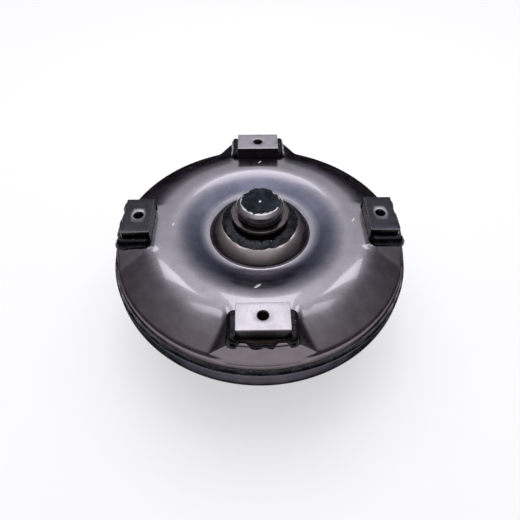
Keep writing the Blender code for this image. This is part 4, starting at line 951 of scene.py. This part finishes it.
def ceilingPanel(number, left, right, near, far):
    light = bpy.data.lights.new(f"ceilingPanel{number}", "AREA")
    light.shape = "RECTANGLE"
    light.size, light.size_y = right - left, far - near
    light.energy = math.pi * panels["radiance"] * (right - left) * (far - near)
    light.color = linear(panels["colour"])[:3]
    lamp = bpy.data.objects.new(light.name, light)
    lamp.location = ((left + right) / 2.0, (near + far) / 2.0, panels["height"])
    lamp.rotation_euler = Vector((0.0, 0.0, -1.0)).to_track_quat("-Z", "Y").to_euler()
    bpy.context.scene.collection.objects.link(lamp)


for number, plan in enumerate(panels["plans"]):
    ceilingPanel(number + 1, *plan)


def makeRoom():
    # Dark along the horizon and pale towards the ceiling, dimmer on both sides and behind the camera.
    world = bpy.data.worlds.new("studioWorld")
    bpy.context.scene.world = world
    world.use_nodes = True
    tree = world.node_tree
    tree.nodes.clear()
    way = addNode(tree, "TexCoord", output="Generated")
    x, y, z = addNode(tree, "SeparateXYZ", [way]).node.outputs
    level = addNode(tree, "MapRange", [z, -0.2, 1.0])
    sky = addNode(tree, "ValToRGB", [level], stops=[
        (0.0, "#3c3c42"), (0.167, "#5a5a60"), (0.31, "#6e6e75"), (0.45, "#7e7e85"), (0.583, "#a8a8af"),
        (0.7, "#cacacf"), (0.808, "#f0f0f4"), (0.9, "#fefdff")])
    depth = addNode(tree, "MapRange", [y, -0.9, 0.7, 0.45, 1.35])
    aside = addNode(tree, "Math", [x], operation="ABSOLUTE")
    aside = addNode(tree, "MapRange", [aside, 0.25, 0.65, 1.0, 0.48])
    strength = addNode(tree, "Math", [depth, aside], operation="MULTIPLY")
    room = addNode(tree, "Background", {"Color": sky, "Strength": strength})
    addNode(tree, "OutputWorld", {"Surface": room})


makeRoom()

bpy.context.scene.view_settings.view_transform = "Standard"

# The photograph's view, found from the pads' corners: the eye's place and tilt in millimetres and
# degrees, turned so that the pads stand square to X and Y.
shot = {"eye": (0.41, -348.82, 484.97), "tilt": 49.54, "roll": 0.46, "turn": -1.54, "focus": 463.22,
        "image": 520, "sensor": 36.0}
tilt, roll = math.radians(shot["tilt"]), math.radians(shot["roll"])
right = Vector((1.0, 0.0, 0.0))
back = Vector((0.0, -math.cos(tilt), math.sin(tilt)))
up = back.cross(right)
xAxis = math.cos(roll) * right + math.sin(roll) * up
yAxis = -math.sin(roll) * right + math.cos(roll) * up
pose = Matrix((xAxis, yAxis, back)).transposed().to_4x4()
pose.translation = Vector(shot["eye"]) * mm
camera = bpy.data.cameras.new("photoCamera")
camera.sensor_fit = "HORIZONTAL"
camera.sensor_width = shot["sensor"]
camera.lens = shot["focus"] * shot["sensor"] / shot["image"]
viewer = bpy.data.objects.new("photoCamera", camera)
viewer.matrix_world = Matrix.Rotation(math.radians(shot["turn"]), 4, "Z") @ pose
bpy.context.scene.collection.objects.link(viewer)
bpy.context.scene.camera = viewer
print("camera and light set")
